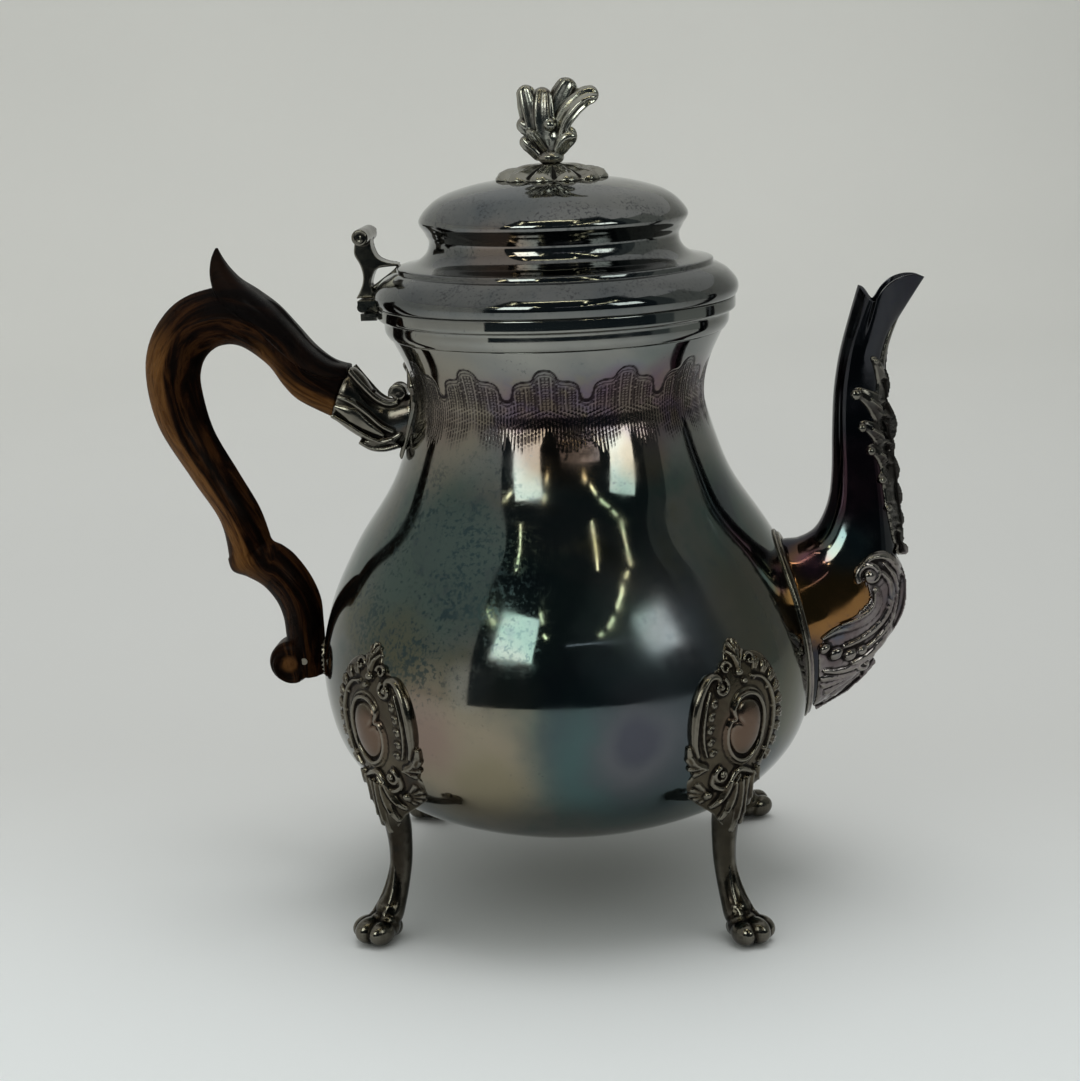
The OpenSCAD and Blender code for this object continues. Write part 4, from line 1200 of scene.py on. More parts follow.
# Lip at angles round the tube from its rear: x, half width y, z
LIP = [(0, 94.2, 0.0, 193.6), (20, 94.9, 1.9, 193.0), (42, 96.2, 3.9, 191.4),
       (62, 97.5, 5.3, 189.7), (80, 98.6, 6.1, 188.8), (92, 99.6, 6.5, 189.4),
       (106, 101.6, 6.7, 192.4), (124, 104.8, 6.4, 195.0), (142, 108.4, 5.0, 196.4),
       (160, 111.8, 2.9, 196.6), (172, 114.0, 1.1, 195.8), (180, 115.0, 0.0, 195.4)]
LIP_MIDDLE = np.array([101.0, 0, 188.0])
LIP_NOTCH = math.radians(80)
SPOUT_WALL = 1.1
SPOUT_SIDES = 72


def spout_ring(s, grow=0.0):
    """Ring that starts at the rear and runs round the -y side."""
    c = np.array([s[0] + s[2], s[1] + s[3]]) / 2
    h = np.array([s[2] - s[0], s[3] - s[1]]) / 2
    size = np.linalg.norm(h)
    a = circle(SPOUT_SIDES)
    xz = c - h / size * ((size + grow) * np.cos(a))[:, None]
    return np.column_stack([xz[:, 0], -(s[4] + grow) * np.sin(a), xz[:, 1]])


def lip_ring(grow):
    """The lip's own ring, or that of its inner side."""
    a = np.degrees(circle(SPOUT_SIDES))
    half = np.where(a > 180, 360 - a, a)
    at = curve(LIP, 6)
    x, y, z = (np.interp(half, at[:, 0], at[:, k]) for k in (1, 2, 3))
    ring = np.column_stack([x, np.where(a > 180, 1, -1) * y, z])
    pull = unit((LIP_MIDDLE - ring) * [1, 1, 0.1])
    return ring + pull * -grow * step(0, 3, y)[:, None] ** 0.5


def spout_rings(grow):
    """Rings from the seam on the belly up to the lip."""
    root = spout_ring(SPOUT_LINE[0], grow)
    rings = [np.column_stack([on_body(root[:, 1], root[:, 2]) + SEAT, root[:, 1], root[:, 2]])]
    rings += [spout_ring(s, grow) for s in SPOUT_LINE[2:]]
    top = spout_ring(SPOUT_LINE[-1], grow)
    lean = top - spout_ring(SPOUT_LINE[-8], grow)
    lip = lip_ring(grow)
    for t in np.linspace(0, 1, 15)[1:]:
        b = (1 - t) ** 2 * (1 + 2 * t)
        rings.append(top * b + lip * (1 - b) + lean * t * (1 - t) ** 2 * 1.6)
    return np.array(rings)


def spout_piece():
    """Hollow swan neck with a split, flared beak and a crease below each notch."""
    outer, inner = spout_rings(0.0), spout_rings(-SPOUT_WALL)
    a = circle(SPOUT_SIDES)
    for ring in outer:
        depth = step(166, 186, ring[:, 2])
        for centre in (LIP_NOTCH, 2 * math.pi - LIP_NOTCH):
            dent = np.exp(-((a - centre) / 0.16) ** 2) * depth * 0.85
            ring[:, 1] *= 1 - dent * 0.16
    rings = np.concatenate([outer, inner[::-1]])
    shape = rings.reshape(-1, 3), grid_faces(*rings.shape[:2], wrap_rows=True, wrap_cols=True)
    piece = new_piece("swan_spout", shape, SPOUT, "pot", "spout")
    smooth = piece.modifiers.new("smooth", "SUBSURF")
    smooth.levels = smooth.render_levels = 1
    apply_modifiers(piece)


def wrap_spout(verts, side):
    """Flat ornament (x, z, height) seen from the side, laid on that flank of the spout."""
    x, z, h = np.asarray(verts, float).T
    line = even(SPOUT_LINE, 260)
    rear, front = line[:, :2], line[:, 2:4]
    d = front - rear
    size = np.linalg.norm(d, axis=1)
    px = x[:, None] - rear[None, :, 0]
    pz = z[:, None] - rear[None, :, 1]
    along = (px * d[:, 0] + pz * d[:, 1]) / size ** 2
    aside = (px * d[:, 1] - pz * d[:, 0]) / size
    off = np.abs(aside) + 30 * (np.clip(along - 1.15, 0, None) + np.clip(-0.15 - along, 0, None))
    k = off.argmin(axis=1)
    own = np.arange(len(k)), k
    t = np.clip(along[own] * 2 - 1, -1, 1)
    mid = (rear[k] + front[k]) / 2
    half = (front[k] - rear[k]) / 2
    w = line[k, 4]
    c, s = t, np.sqrt(1 - t * t)
    length = np.linalg.norm(half, axis=1)
    u = half / length[:, None]
    nc, ns = c / length, s / w
    scale = 1 / np.maximum(np.hypot(nc, ns), 1e-9)
    nc, ns = nc * scale, ns * scale
    beyond = np.clip(np.abs(along[own] * 2 - 1) - 1, 0, None) * length
    xz = mid + u * ((c * length) + nc * h + np.sign(t) * beyond)[:, None]
    xz += np.column_stack([u[:, 1], -u[:, 0]]) * aside[own][:, None]
    return np.column_stack([xz[:, 0], side * (w * s + ns * h), xz[:, 1]])


def on_both_flanks(shapes):
    verts, faces = join(*shapes)
    return join((wrap_spout(verts, -1), faces), (wrap_spout(verts, 1), faces))


def root_moulding_piece():
    """Rounded seam moulding with a fillet round the spout's root."""
    shapes = []
    for grow, r, h in ((1.3, 1.0, 0.5), (2.7, 0.5, 0.25)):
        ring = spout_ring(SPOUT_LINE[0], grow)
        path = np.column_stack([on_body(ring[:, 1], ring[:, 2]) + h, ring[:, 1], ring[:, 2]])
        shapes.append(sweep(path, r, r, up=unit(path * [1, 1, 0]), sides=14, closed=True))
    cast("root_moulding", join(*shapes), "spout_collar", 0.3)


def acanthus_piece():
    """Leaf that climbs the front of the neck in lapped, curling lobes."""
    shapes = [stroke([(106.6, 111), (105.6, 118), (103.8, 130), (102.2, 145), (101.2, 158),
                      (101.6, 168), (103.4, 177)], [1.8, 2.4, 2.6, 2.4, 2.0, 1.3, 0.5],
                     [1.0, 1.2, 1.3, 1.2, 1.0, 0.8, 0.3], 0.1)]
    for root, tip, bend, wide in (((102.0, 158.0), (98.2, 171.8), -0.08, 1.9),
                                  ((103.4, 144.0), (92.4, 161.6), -0.16, 3.5),
                                  ((103.6, 139.4), (94.2, 151.2), -0.14, 2.9),
                                  ((104.8, 131.0), (96.8, 143.8), -0.14, 2.8),
                                  ((105.6, 123.0), (100.2, 134.6), -0.12, 2.6),
                                  ((106.4, 116.4), (102.2, 125.6), -0.10, 2.3)):
        shapes.append(frond(root, tip, bend, wide, 1.25, 0.15))
        shapes.append(blob((tip[0] + 0.7, tip[1] - 1.6, 0.8), (wide * 0.42, wide * 0.5, 0.95)))
    shapes.append(blob((107.0, 109.8, 0.8), (2.0, 2.0, 1.5)))
    middle = curve([[101.2, 0, 166], [102.0, 0, 171.6], [103.6, 0, 177.4], [105.6, 0, 182.0],
                    [107.2, 0, 184.9]], 6)
    tongue = sweep(middle, spread([1.0, 1.0, 0.45], len(middle)),
                   spread([2.6, 2.2, 0.7], len(middle)), up=(0, 1, 0), sides=16)
    cast("acanthus_leaf", join(on_both_flanks(shapes), tongue), "spout_acanthus", 0.25)


# Ribs of the great C-scroll on the spout: flat points, half widths and height
ROCAILLE_RIBS = (
    ([(94.2, 106.2), (97.6, 109.0), (102.4, 108.6), (106.0, 104.0), (107.4, 97.4), (106.4, 89.6),
      (102.4, 82.4), (96.6, 77.4), (90.6, 74.8)], [0.9, 1.3, 1.4, 1.3, 0.8], 1.6),
    ([(100.2, 104.6), (103.0, 101.2), (103.8, 96.2), (102.4, 90.6), (98.6, 86.0), (93.4, 82.8),
      (88.0, 80.9)], [0.8, 1.2, 1.2, 0.9], 1.3),
    ([(101.2, 107.2), (104.4, 102.4), (105.6, 96.6), (104.2, 89.4), (100.2, 83.6), (94.6, 79.6)],
     [0.6, 0.9, 0.9, 0.5], 1.5),
    ([(98.6, 99.6), (98.8, 94.4), (95.8, 90.4), (90.6, 87.8), (85.6, 86.2), (81.4, 83.8)],
     [0.8, 2.2, 2.5, 1.9, 1.2, 0.6], 1.2))
ROCAILLE_GROUND = [(94, 107), (101, 110.6), (107.4, 104), (108.6, 95), (106.0, 85), (99.6, 75.4),
                   (92.0, 68.0), (84.4, 61.4), (79.0, 57.0), (79.6, 63), (80.2, 70), (80.4, 76),
                   (80.8, 82), (87, 87), (95.4, 91), (98, 97)]


def rocaille_piece():
    """Great C-scroll with parallel ribs, shell knobs inside it and a small fan below."""
    eye = (96.9, 103.6)
    shapes = [volute(eye, 3.6, 1.25, 215, 1.25, 1.4, way=-1, lift=0.5),
              blob((*eye, 0.8), (2.0, 2.0, 1.7))]
    shapes += [stroke(line, wide, high, 0.15) for line, wide, high in ROCAILLE_RIBS]
    shapes.append(stroke([(98.4, 98.6), (97.6, 93.6), (93.6, 90.4), (87.6, 88.4)],
                         [0.3, 0.5, 0.3], 0.5, 1.25, sides=8))
    for x, z, r in ((82.4, 81.0, 2.2), (86.0, 79.0, 2.7), (90.4, 78.2, 2.5), (94.2, 79.4, 1.9)):
        shapes.append(blob((x, z, 0.5), (r, r * 0.72, 1.9), turn=0.6, sides=18))
    shapes += [volute((95.2, 73.2), 2.4, 1.1, 60, 0.8, 0.9, lift=0.4),
               stroke([(98.6, 76.4), (95.6, 75.9), (91.0, 73.3), (86.4, 72.6), (81.6, 73.4)],
                      [0.9, 1.3, 1.1, 0.7], 1.2, 0.2),
               fan((92.6, 70.8), ((80.6, 70.2), (80.9, 67.3), (82.1, 64.3), (84.8, 62.4)), 1.35, 1.2),
               stroke([(94.6, 69.4), (89.8, 64.4), (84.6, 60.8), (79.4, 57.0)],
                      [1.2, 1.5, 1.2, 0.5], 1.2, 0.2),
               stroke([(98.8, 73.0), (94.4, 68.0), (88.2, 62.8), (81.4, 58.8)],
                      [0.8, 1.1, 0.8], 1.0, 0.1),
               plate(outline(ROCAILLE_GROUND, 5, 140),
                     lambda x, z, f: 0.55 - 0.45 * step(0.9, 1, f), (92.5, 78), 16)]
    cast("rocaille_group", on_both_flanks(shapes), "spout_rocaille", 0.30)


# ---------------------------------------------------------------- legs and shields

# Angle round the pot, and which hand of the shield goes there
LEGS = {"front_left": (225, -1), "front_right": (315, 1), "rear_left": (135, 1),
        "rear_right": (45, -1)}
# Height, radius of the front of the silver, and radius of its sideways curve
APRON = curve([[30, 74.0, 13], [36, 74.4, 13], [42, 75.2, 14], [48, 76.0, 20], [54, 77.0, 38],
               [60, 77.7, 66], [66, 78.6, 79], [72, 79.3, 79.4], [78, 79.3, 79.4],
               [84, 78.7, 79], [90, 77.5, 78], [98, 75.2, 75]], 6)


def turn_mesh(mesh, degrees):
    """Turns a mesh about the pot's axis."""
    pivot = Matrix.Translation((AXIS_X, 0, 0))
    mesh.transform(pivot @ Matrix.Rotation(math.radians(degrees), 4, "Z") @ pivot.inverted())
    mesh.update()


def at_each_leg(name, node, shapes, voxel, rounds, floor=None):
    """The same casting at all four legs; shapes holds it for either hand."""
    made = {}
    for leg, (turn, mirror) in LEGS.items():
        hand = mirror if mirror in shapes else 0
        if hand in made:
            piece = enlist(f"{name}_{leg}", made[hand].copy(), "pot", f"{node}_{leg}")
        else:
            piece = cast(f"{name}_{leg}", shapes[hand], f"{node}_{leg}", voxel, rounds,
                         floor=floor, weld=False)
            made[hand] = piece.data.copy()
        turn_mesh(piece.data, turn)


def wrap_apron(shape, mirror):
    """Flat ornament (sideways, z, height) bent over the belly and down on to the knee."""
    s, z, h = np.asarray(shape[0], float).T
    s = s * mirror
    r = np.interp(z, APRON[:, 0], APRON[:, 1])
    bend = np.interp(z, APRON[:, 0], APRON[:, 2])
    slope = np.interp(z + 1, APRON[:, 0], APRON[:, 1]) - np.interp(z - 1, APRON[:, 0], APRON[:, 1])
    out = 1 / np.sqrt(1 + (slope / 2) ** 2)
    up = -slope / 2 * out
    a = s / bend
    radius = bend + (h + 0.1) * out
    verts = np.column_stack([r - bend + radius * np.cos(a), radius * np.sin(a),
                             z + (h + 0.1) * up])
    return verts, shape[1]


BOSS = np.array([1.6, 67.4])
BOSS_EDGE = [(2.2, 78.2), (5.9, 76.8), (8.4, 72.8), (9.1, 67.6), (7.9, 62.2), (4.8, 58.4),
             (1.3, 57.2), (-2.6, 59.0), (-5.5, 63.4), (-6.0, 68.0), (-4.9, 70.9), (-3.2, 71.4),
             (-3.9, 74.4), (-1.6, 77.4)]
SHIELD_EDGE = [(-1.6, 95.4), (1.2, 94.2), (3.0, 91.0), (7.4, 90.0), (12.0, 87.4), (15.2, 83.4),
               (17.8, 78.4), (19.2, 72.6), (19.2, 66.4), (17.6, 60.4), (14.2, 54.6), (11.6, 48.2),
               (8.4, 41.2), (4.6, 36.2), (0.6, 32.6), (-3.4, 36.0), (-7.2, 40.6), (-12.2, 44.0),
               (-17.6, 48.4), (-17.8, 52.8), (-16.4, 55.2), (-19.2, 60.6), (-19.0, 66.2),
               (-18.8, 72.6), (-17.4, 78.6), (-14.4, 83.4), (-9.8, 86.4), (-5.8, 88.4),
               (-4.6, 92.4)]
RUFFLE = curve([(6.4, 86.6), (10.4, 84.6), (13.6, 81.0), (15.8, 76.4), (16.9, 71.2), (17.0, 65.8),
                (15.8, 60.6), (13.6, 55.8)], 6)
RUFFLE_CENTRE = np.array([1.6, 68.0])


def cabochon():
    """Swollen heart-shaped boss in a double frame, notched at its upper left."""
    line = outline(BOSS_EDGE, 6, 110)
    frame_line = np.column_stack([line, np.full(len(line), 0.9)])
    thin_line = np.column_stack([BOSS + (line - BOSS) * 1.13, np.full(len(line), 0.6)])
    return [plate(BOSS + (line - BOSS) * 0.86,
                  lambda x, z, f: 0.7 + 1.9 * np.sqrt(np.clip(1 - f ** 2, 0, 1)), BOSS, 16),
            sweep(frame_line, 0.75, 1.15, up=(0, 0, 1), sides=10, closed=True),
            sweep(thin_line, 0.4, 0.7, up=(0, 0, 1), sides=8, closed=True)]


def ruffle():
    """Shell edge down the shield's right side: threes of short flutes, a rib and beads."""
    shapes = []
    for p in even(RUFFLE, 9):
        away = unit(p - RUFFLE_CENTRE)
        side = np.array([-away[1], away[0]])
        for k, w in ((-1, 0.62), (0, 0.8), (1, 0.62)):
            root = p - away * 2.2 + side * k * 0.5
            tip = p + away * (2.0 - 0.5 * abs(k)) + side * k * 1.35
            shapes.append(stroke([root, (root + tip) / 2 + side * 0.2, tip], [w * 0.6, w, w * 0.9],
                                 [0.9, 1.5, 1.1], 0.35, sides=8))
    shapes.append(stroke([(3.6, 83.2), (8.6, 81.6), (12.2, 77.2), (13.8, 71.0), (13.6, 64.6),
                          (11.6, 58.4), (8.6, 54.4)], [0.5, 0.8, 0.9, 0.8, 0.5], 1.5, 0.4))
    for p in even(RUFFLE, 5):
        bead = RUFFLE_CENTRE + (p - RUFFLE_CENTRE) * 0.78
        shapes.append(blob((*bead, 0.8), (0.75, 0.75, 0.8), sides=12))
    return shapes


def shield_shapes():
    """One cast cartouche, drawn flat: C-scroll on the left, ruffled shell edge on the right."""
    shapes = [plate(outline(SHIELD_EDGE, 5, 200), lambda x, z, f: 0.75 - 0.6 * step(0.92, 1.0, f),
                    (0, 67), 22)]
    shapes += cabochon()
    shapes += [stroke([(-9.6, 80.2), (-8.6, 84.4), (-11.8, 85.0), (-15.2, 81.2), (-17.2, 76.0),
                       (-17.9, 70.4), (-17.4, 65.4), (-15.6, 61.2)],
                      [0.8, 1.3, 1.5, 1.7, 1.6, 1.3, 0.7], [1.6, 2.0, 2.1, 2.0, 1.4], 0.3),
               volute((-8.2, 81.8), 2.5, 1.15, 60, 0.8, 1.3, way=-1, lift=0.7),
               blob((-8.2, 81.8, 1.0), (1.1, 1.1, 1.5)),
               stroke([(-12.0, 81.4), (-14.0, 76.2), (-14.8, 70.4), (-14.2, 65.0), (-12.6, 60.8)],
                      [0.4, 0.6, 0.4], 1.3, 0.3)]
    for x, z, turn in ((-10.6, 77.0, 24), (-11.8, 73.2, 12), (-12.2, 69.2, 0), (-11.8, 65.2, -12),
                       (-10.6, 61.4, -24)):
        shapes.append(volute((x, z), 1.25, 0.9, 40 + turn, 0.42, 0.9, lift=0.5))
        shapes.append(blob((x, z, 0.8), (0.55, 0.55, 0.8), sides=10))
    shapes += ruffle()
    for tip, bend in (((-4.6, 92.0), -0.15), ((-3.2, 94.4), -0.08), ((-1.4, 95.3), 0),
                      ((0.6, 94.2), 0.08), ((2.4, 91.4), 0.15)):
        shapes.append(frond((-1.2, 84.8), tip, bend, 1.05, 1.7, 0.5))
    shapes += [volute((-5.6, 87.0), 1.9, 1.1, 0, 0.65, 1.2, lift=0.5),
               volute((4.0, 88.0), 2.0, 1.1, 180, 0.7, 1.3, way=-1, lift=0.6),
               blob((-1.2, 85.2, 1.2), (1.5, 1.3, 1.6)),
               blob((0.9, 82.2, 1.0), (1.1, 1.0, 1.3), sides=12),
               volute((-6.8, 54.2), 2.3, 1.2, 100, 0.85, 1.4, lift=0.8),
               blob((-6.8, 54.2, 1.4), (0.9, 0.9, 1.3), sides=12),
               stroke([(-9.4, 55.4), (-9.2, 51.4), (-5.6, 49.2), (-1.6, 50.4), (0.6, 53.2)],
                      [0.7, 1.0, 1.0, 0.6], 1.4, 0.5)]
    for tip, bend in (((-19.2, 65.4), 0.18), ((-19.6, 61.6), 0.06), ((-18.6, 57.6), -0.08),
                      ((-16.0, 54.6), -0.2)):
        shapes.append(frond((-11.8, 57.2), tip, bend, 1.55, 1.6, 0.4))
    for root, tip, bend, wide in (((-3.0, 52.0), (-8.6, 43.0), 0.12, 1.7),
                                  ((-1.2, 51.0), (-5.4, 38.4), 0.10, 1.9),
                                  ((1.2, 51.6), (-1.2, 33.6), 0.05, 2.2),
                                  ((3.6, 52.0), (3.0, 35.2), -0.04, 2.2),
                                  ((6.0, 53.0), (7.4, 40.2), -0.08, 2.0),
                                  ((8.0, 54.0), (11.0, 46.6), -0.10, 1.7)):
        shapes.append(frond(root, tip, bend, wide, 1.9, 0.5))
    shapes += [stroke([(-4.6, 49.0), (-1.2, 54.2), (2.6, 53.8), (8.6, 50.6)], [0.6, 1.1, 0.6],
                      1.4, 0.8),
               fan((-9.6, 47.8), ((-14.6, 52.4), (-15.8, 50.2), (-15.6, 48.0), (-14.0, 46.0),
                                  (-11.8, 44.8)), 1.05, 1.2, 0.4),
               blob((-9.8, 47.6, 1.0), (1.5, 1.5, 1.5), sides=12)]
    return shapes


def shield_pieces():
    """Cartouches above the legs, in a left and a right hand."""
    flat = join(*shield_shapes())
    hands = {mirror: wrap_apron(flat, mirror) for mirror in (-1, 1)}
    at_each_leg("shield", "cartouche", hands, 0.27, 1)


# Leg in its own plane, from the knee down: x, height, half depth, half width
SHIN = curve([[73.4, 46.0, 2.4, 6.6], [72.8, 41.0, 3.6, 5.8], [71.6, 36.0, 4.0, 4.5],
              [71.0, 30.0, 3.7, 3.9], [71.1, 24.0, 3.5, 3.6], [72.2, 18.0, 3.4, 3.6],
              [74.2, 12.4, 3.8, 4.0], [76.8, 8.0, 4.4, 4.9], [79.0, 5.4, 3.4, 4.2]], 7)


def leg_shapes():
    """Cabriole leg in its own plane: knee, shin with an arris, three-toed paw with a heel."""
    path = np.column_stack([SHIN[:, 0], 0 * SHIN[:, 0], SHIN[:, 1]])

    def arris(a, s):
        front = np.exp(-((a % (2 * math.pi)) / 0.3) ** 2)
        back = np.exp(-((a % (2 * math.pi) - 2 * math.pi) / 0.3) ** 2)
        return 1 + 0.10 * (front + back) * step(0.2, 0.45, s) * (1 - step(0.8, 0.95, s))

    shapes = [sweep(path, SHIN[:, 2], SHIN[:, 3], up=(0, 1, 0), sides=32, section=arris)]
    for y, x, r in ((-3.8, 82.5, 3.8), (0, 84.1, 4.2), (3.8, 82.5, 3.8)):
        splay = y / 25
        shapes.append(blob((x, y, r), (r + 1.1, r - 0.5, r), turn=splay, sides=24))
        shapes.append(blob((x - 3.8, y * 0.66, 5.9), (4.0, 2.8, 3.4), turn=splay, sides=20))
    shapes += [blob((79.4, 0, 4.3), (5.6, 5.6, 4.2), sides=24),
               blob((75.8, 0, 3.3), (3.3, 3.6, 3.2), sides=20),
               blob((76.6, 0, 9.8), (4.1, 4.4, 3.4), sides=20)]
    z = np.linspace(25, 8.5, 12)
    front = sum(np.interp(z, SHIN[::-1, 1], SHIN[::-1, k]) for k in (0, 2))
    thick = np.interp(np.linspace(0, 1, 12), [0, 0.4, 1], [0.15, 0.6, 0.9])
    for side in (-1, 0, 1):
        y = side * (0.9 + 0.10 * (25 - z))
        cord = np.column_stack([front - 0.1 * abs(side) * np.abs(y) - 0.15, y, z])
        shapes.append(sweep(cord, thick, sides=10))
    return shapes


def leg_pieces():
    """Four legs, which have no hand."""
    at_each_leg("paw_leg", "leg", {0: join(*leg_shapes())}, 0.3, 2, floor=0.0)


# ---------------------------------------------------------------- hardware kept from the frame

def keep_hardware():
    """Hinge, pins, peg, stud and nut are already the right shape: they only need their finish."""
    for name in ("lid_hinge_leaf", "body_hinge_leaf", "hinge_pin", "handle_upper_pin",
                 "handle_lower_peg", "handle_lower_pin", "finial_stud", "finial_nut"):
        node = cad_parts[name]
        node.data.materials.clear()
        node.data.materials.append(CAST)


# ---------------------------------------------------------------- studio

def studio_mesh(name, verts, faces, material):
    """Part of the stage, in metres."""
    mesh = bpy.data.meshes.new(name)
    mesh.from_pydata(np.asarray(verts, float).tolist(), [], faces)
    mesh.shade_smooth()
    mesh.materials.append(material)
    thing = stand(name, mesh)
    return thing


def glow(name, colour, strength):
    """Plain light-giving material."""
    material = bpy.data.materials.new(name)
    material.use_nodes = True
    nodes = material.node_tree.nodes
    nodes.clear()
    light = nodes.new("ShaderNodeEmission")
    light.inputs["Color"].default_value = (*colour, 1)
    light.inputs["Strength"].default_value = strength
    out = nodes.new("ShaderNodeOutputMaterial")
    material.node_tree.links.new(light.outputs[0], out.inputs["Surface"])
    return material


def evening_glow():
    """Soft light that grows upwards, so that the paper's top edge leaves no line in the silver."""
    material = glow("upper_light", (0.98, 1.0, 0.97), 0.5)
    tree = material.node_tree
    place = tree.nodes.new("ShaderNodeTexCoord").outputs["Object"]
    split = tree.nodes.new("ShaderNodeSeparateXYZ")
    tree.links.new(place, split.inputs[0])
    grow = tree.nodes.new("ShaderNodeMapRange")
    for key, value in (("From Min", 0.70), ("From Max", 1.2), ("To Min", 0.47), ("To Max", 0.60)):
        grow.inputs[key].default_value = value
    tree.links.new(split.outputs["Z"], grow.inputs["Value"])
    light = next(n for n in tree.nodes if n.type == "EMISSION")
    tree.links.new(grow.outputs["Result"], light.inputs["Strength"])
    return material


def mirrored_mesh(name, verts, faces, material):
    """Thing of the room that is seen only in the silver."""
    thing = studio_mesh(name, verts, faces, material)
    thing.visible_camera = False
    thing.visible_diffuse = False
    thing.visible_shadow = False
    thing.visible_transmission = False


def bearing(azimuth, elevation, distance):
    """Point in metres: azimuth from the front (-y) towards +x, elevation from the table."""
    a, e = math.radians(azimuth), math.radians(elevation)
    flat = distance * math.cos(e)
    return np.array([AXIS_X + flat * math.sin(a), -flat * math.cos(a),
                     0.1 + distance * math.sin(e)])


def card(name, corners, distance, material):
    """Four-cornered card, each corner given as a bearing."""
    verts = [bearing(a, e, distance) for a, e in corners]
    mirrored_mesh(name, verts, [[0, 1, 2, 3]], material)


LAMP_DISTANCE = 1.15
WINDOW_DISTANCE = 1.17


def lamp(name, start, end, wide, material):
    """Straight lamp between two bearings."""
    a, b = np.array(start, float), np.array(end, float)
    side = unit(np.array([a[1] - b[1], b[0] - a[0]])) * wide / 2
    card(name, (a - side, b - side, b + side, a + side), LAMP_DISTANCE, material)


def wall(name, left, right, low, high, material):
    """Upright part of the unlit room: it starts at the table's edge and leans outwards."""
    rows = []
    for e in np.linspace(low, high, 16):
        distance = 0.80 + 0.45 * step(-9, 9, e)
        rows.append([bearing(a, e, distance) for a in np.linspace(left, right, 24)])
    rows = np.array(rows)
    mirrored_mesh(name, rows.reshape(-1, 3), grid_faces(*rows.shape[:2]), material)


def dark_room():
    """The room behind the viewer, seen only as what the silver mirrors."""
    wall("room_wall", -40, 68, -7.2, 64, glow("room_dark", (0.024, 0.034, 0.040), 1.0))
    wall("room_side", 68, 82, -7.2, 50, glow("room_dim", (0.10, 0.12, 0.12), 1.0))
    wall("room_far", 82, 112, -7.2, 46, glow("room_grey", (0.28, 0.30, 0.28), 1.0))
    wall("upper_room", 112, 320, 29, 82, evening_glow())
    card("window_left", ((-31.5, 16.5), (-12, 16), (-9.5, 35), (-29.5, 35)), WINDOW_DISTANCE,
         glow("window_light", (0.93, 1.0, 0.94), 6.0))
    card("window_right", ((43, 15), (60, 17), (57.5, 32.5), (38.5, 32.5)), WINDOW_DISTANCE,
         glow("dull_window_light", (0.93, 1.0, 0.94), 4.4))
    bulb = glow("lamp_light", (1.0, 0.93, 0.62), 11.0)
    lamps = (((-28.4, 47.8), (-30.8, 59)), ((26.2, 48.8), (30.8, 59)), ((48.5, 46.5), (51, 51)),
             ((45, 45), (41, 42)), ((38.5, 40), (31.5, 36)), ((29, 34), (25, 31)),
             ((22, 29.5), (20, 28.5)), ((-38.5, 33.8), (-32, 31)), ((-9.4, 37), (-7.6, 34)),
             ((-7, 30), (-5.4, 28)), ((-24, 59), (30, 60)))
    for k, (start, end) in enumerate(lamps):
        lamp(f"lamp_{k}", start, end, 1.15, bulb)
    lamp("lamp_faint", (4, 25), (33, 24.4), 0.7, glow("faint_light", (0.9, 0.9, 1.0), 1.6))


def backdrop():
    """Round paper cove, so that every side has the same plain pale ground."""
    sides = 96
    gap = 0.0004
    profile = curve([[0.0, 0.0], [0.6, 0.0], [1.1, 0.0], [1.45, 0.02], [1.72, 0.14], [1.84, 0.42],
                     [1.88, 0.8], [1.9, 1.3]], 8)
    a = circle(sides)
    rings = [np.column_stack([AXIS_X + r * np.cos(a), r * np.sin(a), np.full(sides, z - gap)])
             for r, z in np.maximum(profile, [1e-4, 0])]
    studio_mesh("cove", np.concatenate(rings), grid_faces(len(rings), sides, wrap_cols=True),
                paper_with_painted_shade())


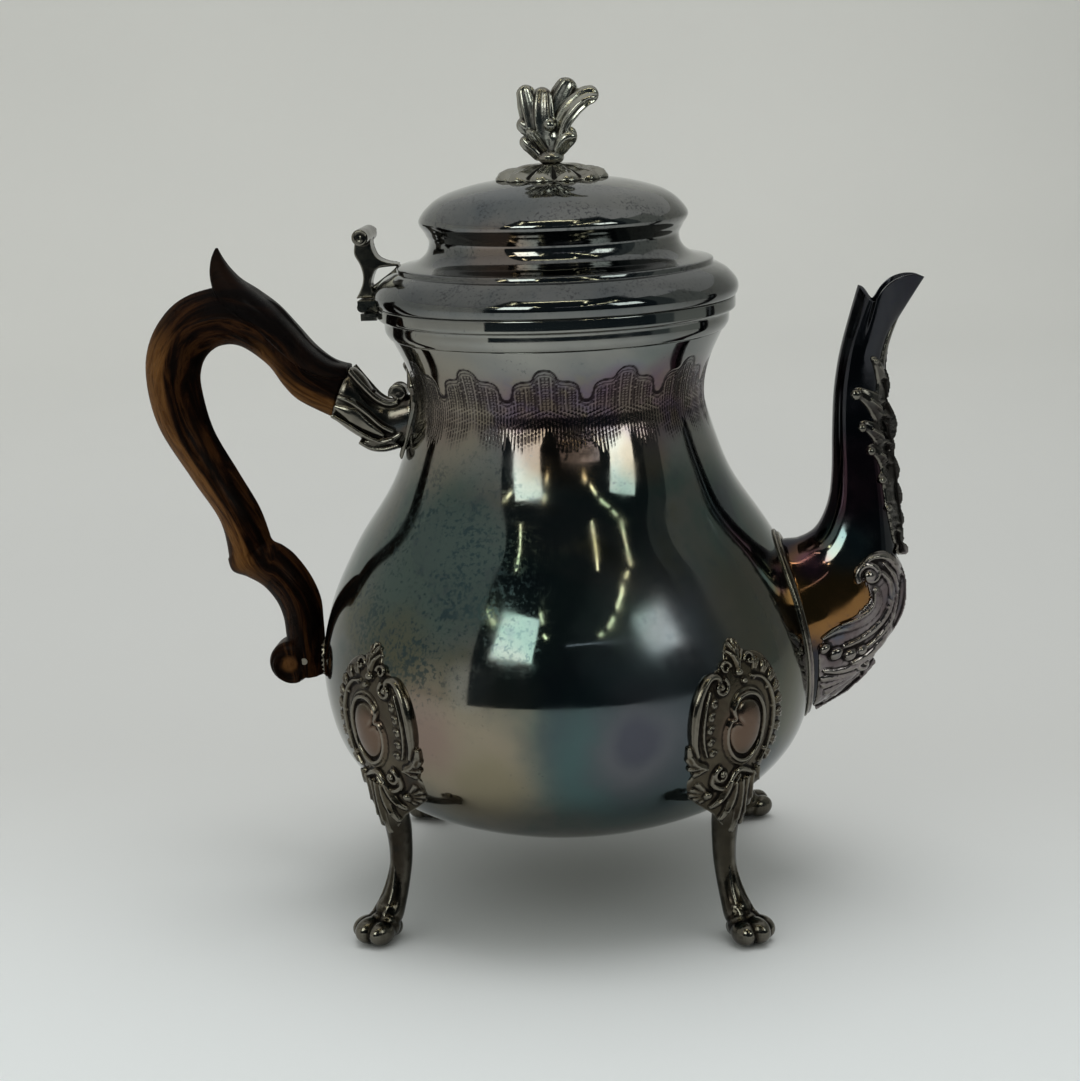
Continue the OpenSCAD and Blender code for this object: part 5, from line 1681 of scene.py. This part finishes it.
def lights():
    """Even light from all round, and one soft light overhead that the silver doesn't mirror."""
    world = bpy.data.worlds.new("studio")
    bpy.context.scene.world = world
    world.use_nodes = True
    sky = world.node_tree.nodes["Background"].inputs
    sky["Color"].default_value = (0.98, 1.0, 0.985, 1)
    sky["Strength"].default_value = 0.64
    panel = bpy.data.lights.new("overhead", "AREA")
    panel.shape = "RECTANGLE"
    panel.size, panel.size_y = 1.3, 1.0
    panel.energy = 10
    thing = stand("overhead", panel)
    place, target = Vector((0.05, 0.05, 1.7)), Vector((0, 0, 0.1))
    thing.location = place
    thing.rotation_euler = (target - place).to_track_quat("-Z", "Y").to_euler()
    thing.visible_glossy = False


# The photograph's viewpoint, in metres and degrees
CAMERA_DISTANCE = 0.7142
CAMERA_HEIGHT = 0.2724
CAMERA_AZIMUTH = 5.06
CAMERA_HEADING = 5.70
CAMERA_PITCH = 12.51
CAMERA_ROLL = -2.20
CAMERA_LENS = 75.6


def camera():
    """Camera at the photograph's viewpoint."""
    lens = bpy.data.cameras.new("camera")
    lens.lens = CAMERA_LENS
    lens.sensor_width = 36
    lens.sensor_fit = "HORIZONTAL"
    lens.clip_start = 0.02
    eye = stand("camera", lens)
    angles = (CAMERA_AZIMUTH, CAMERA_HEADING, CAMERA_PITCH, CAMERA_ROLL)
    a, h, p, roll = (math.radians(v) for v in angles)
    forward = np.array([-math.sin(h) * math.cos(p), math.cos(h) * math.cos(p), -math.sin(p)])
    level = unit(np.cross(forward, (0, 0, 1)))
    above = np.cross(level, forward)
    right = math.cos(roll) * level + math.sin(roll) * above
    up = math.cos(roll) * above - math.sin(roll) * level
    turn = Matrix(np.column_stack([right, up, -forward]).tolist()).to_4x4()
    spot = (AXIS_X + CAMERA_DISTANCE * math.sin(a), -CAMERA_DISTANCE * math.cos(a), CAMERA_HEIGHT)
    eye.matrix_world = Matrix.Translation(spot) @ turn
    bpy.context.scene.camera = eye


# ---------------------------------------------------------------- making

camera()
backdrop()
dark_room()
lights()
bpy.context.scene.view_settings.view_transform = "Standard"

cut_pour_hole(body_piece())
rim_piece()
lid_piece()
collar_piece()
rosette_piece()
finial_piece()
thumbpiece_piece()
handle_piece()
socket_piece()
backplate_piece()
belly_plate_piece()
spout_piece()
root_moulding_piece()
acanthus_piece()
rocaille_piece()
leg_pieces()
shield_pieces()
keep_hardware()
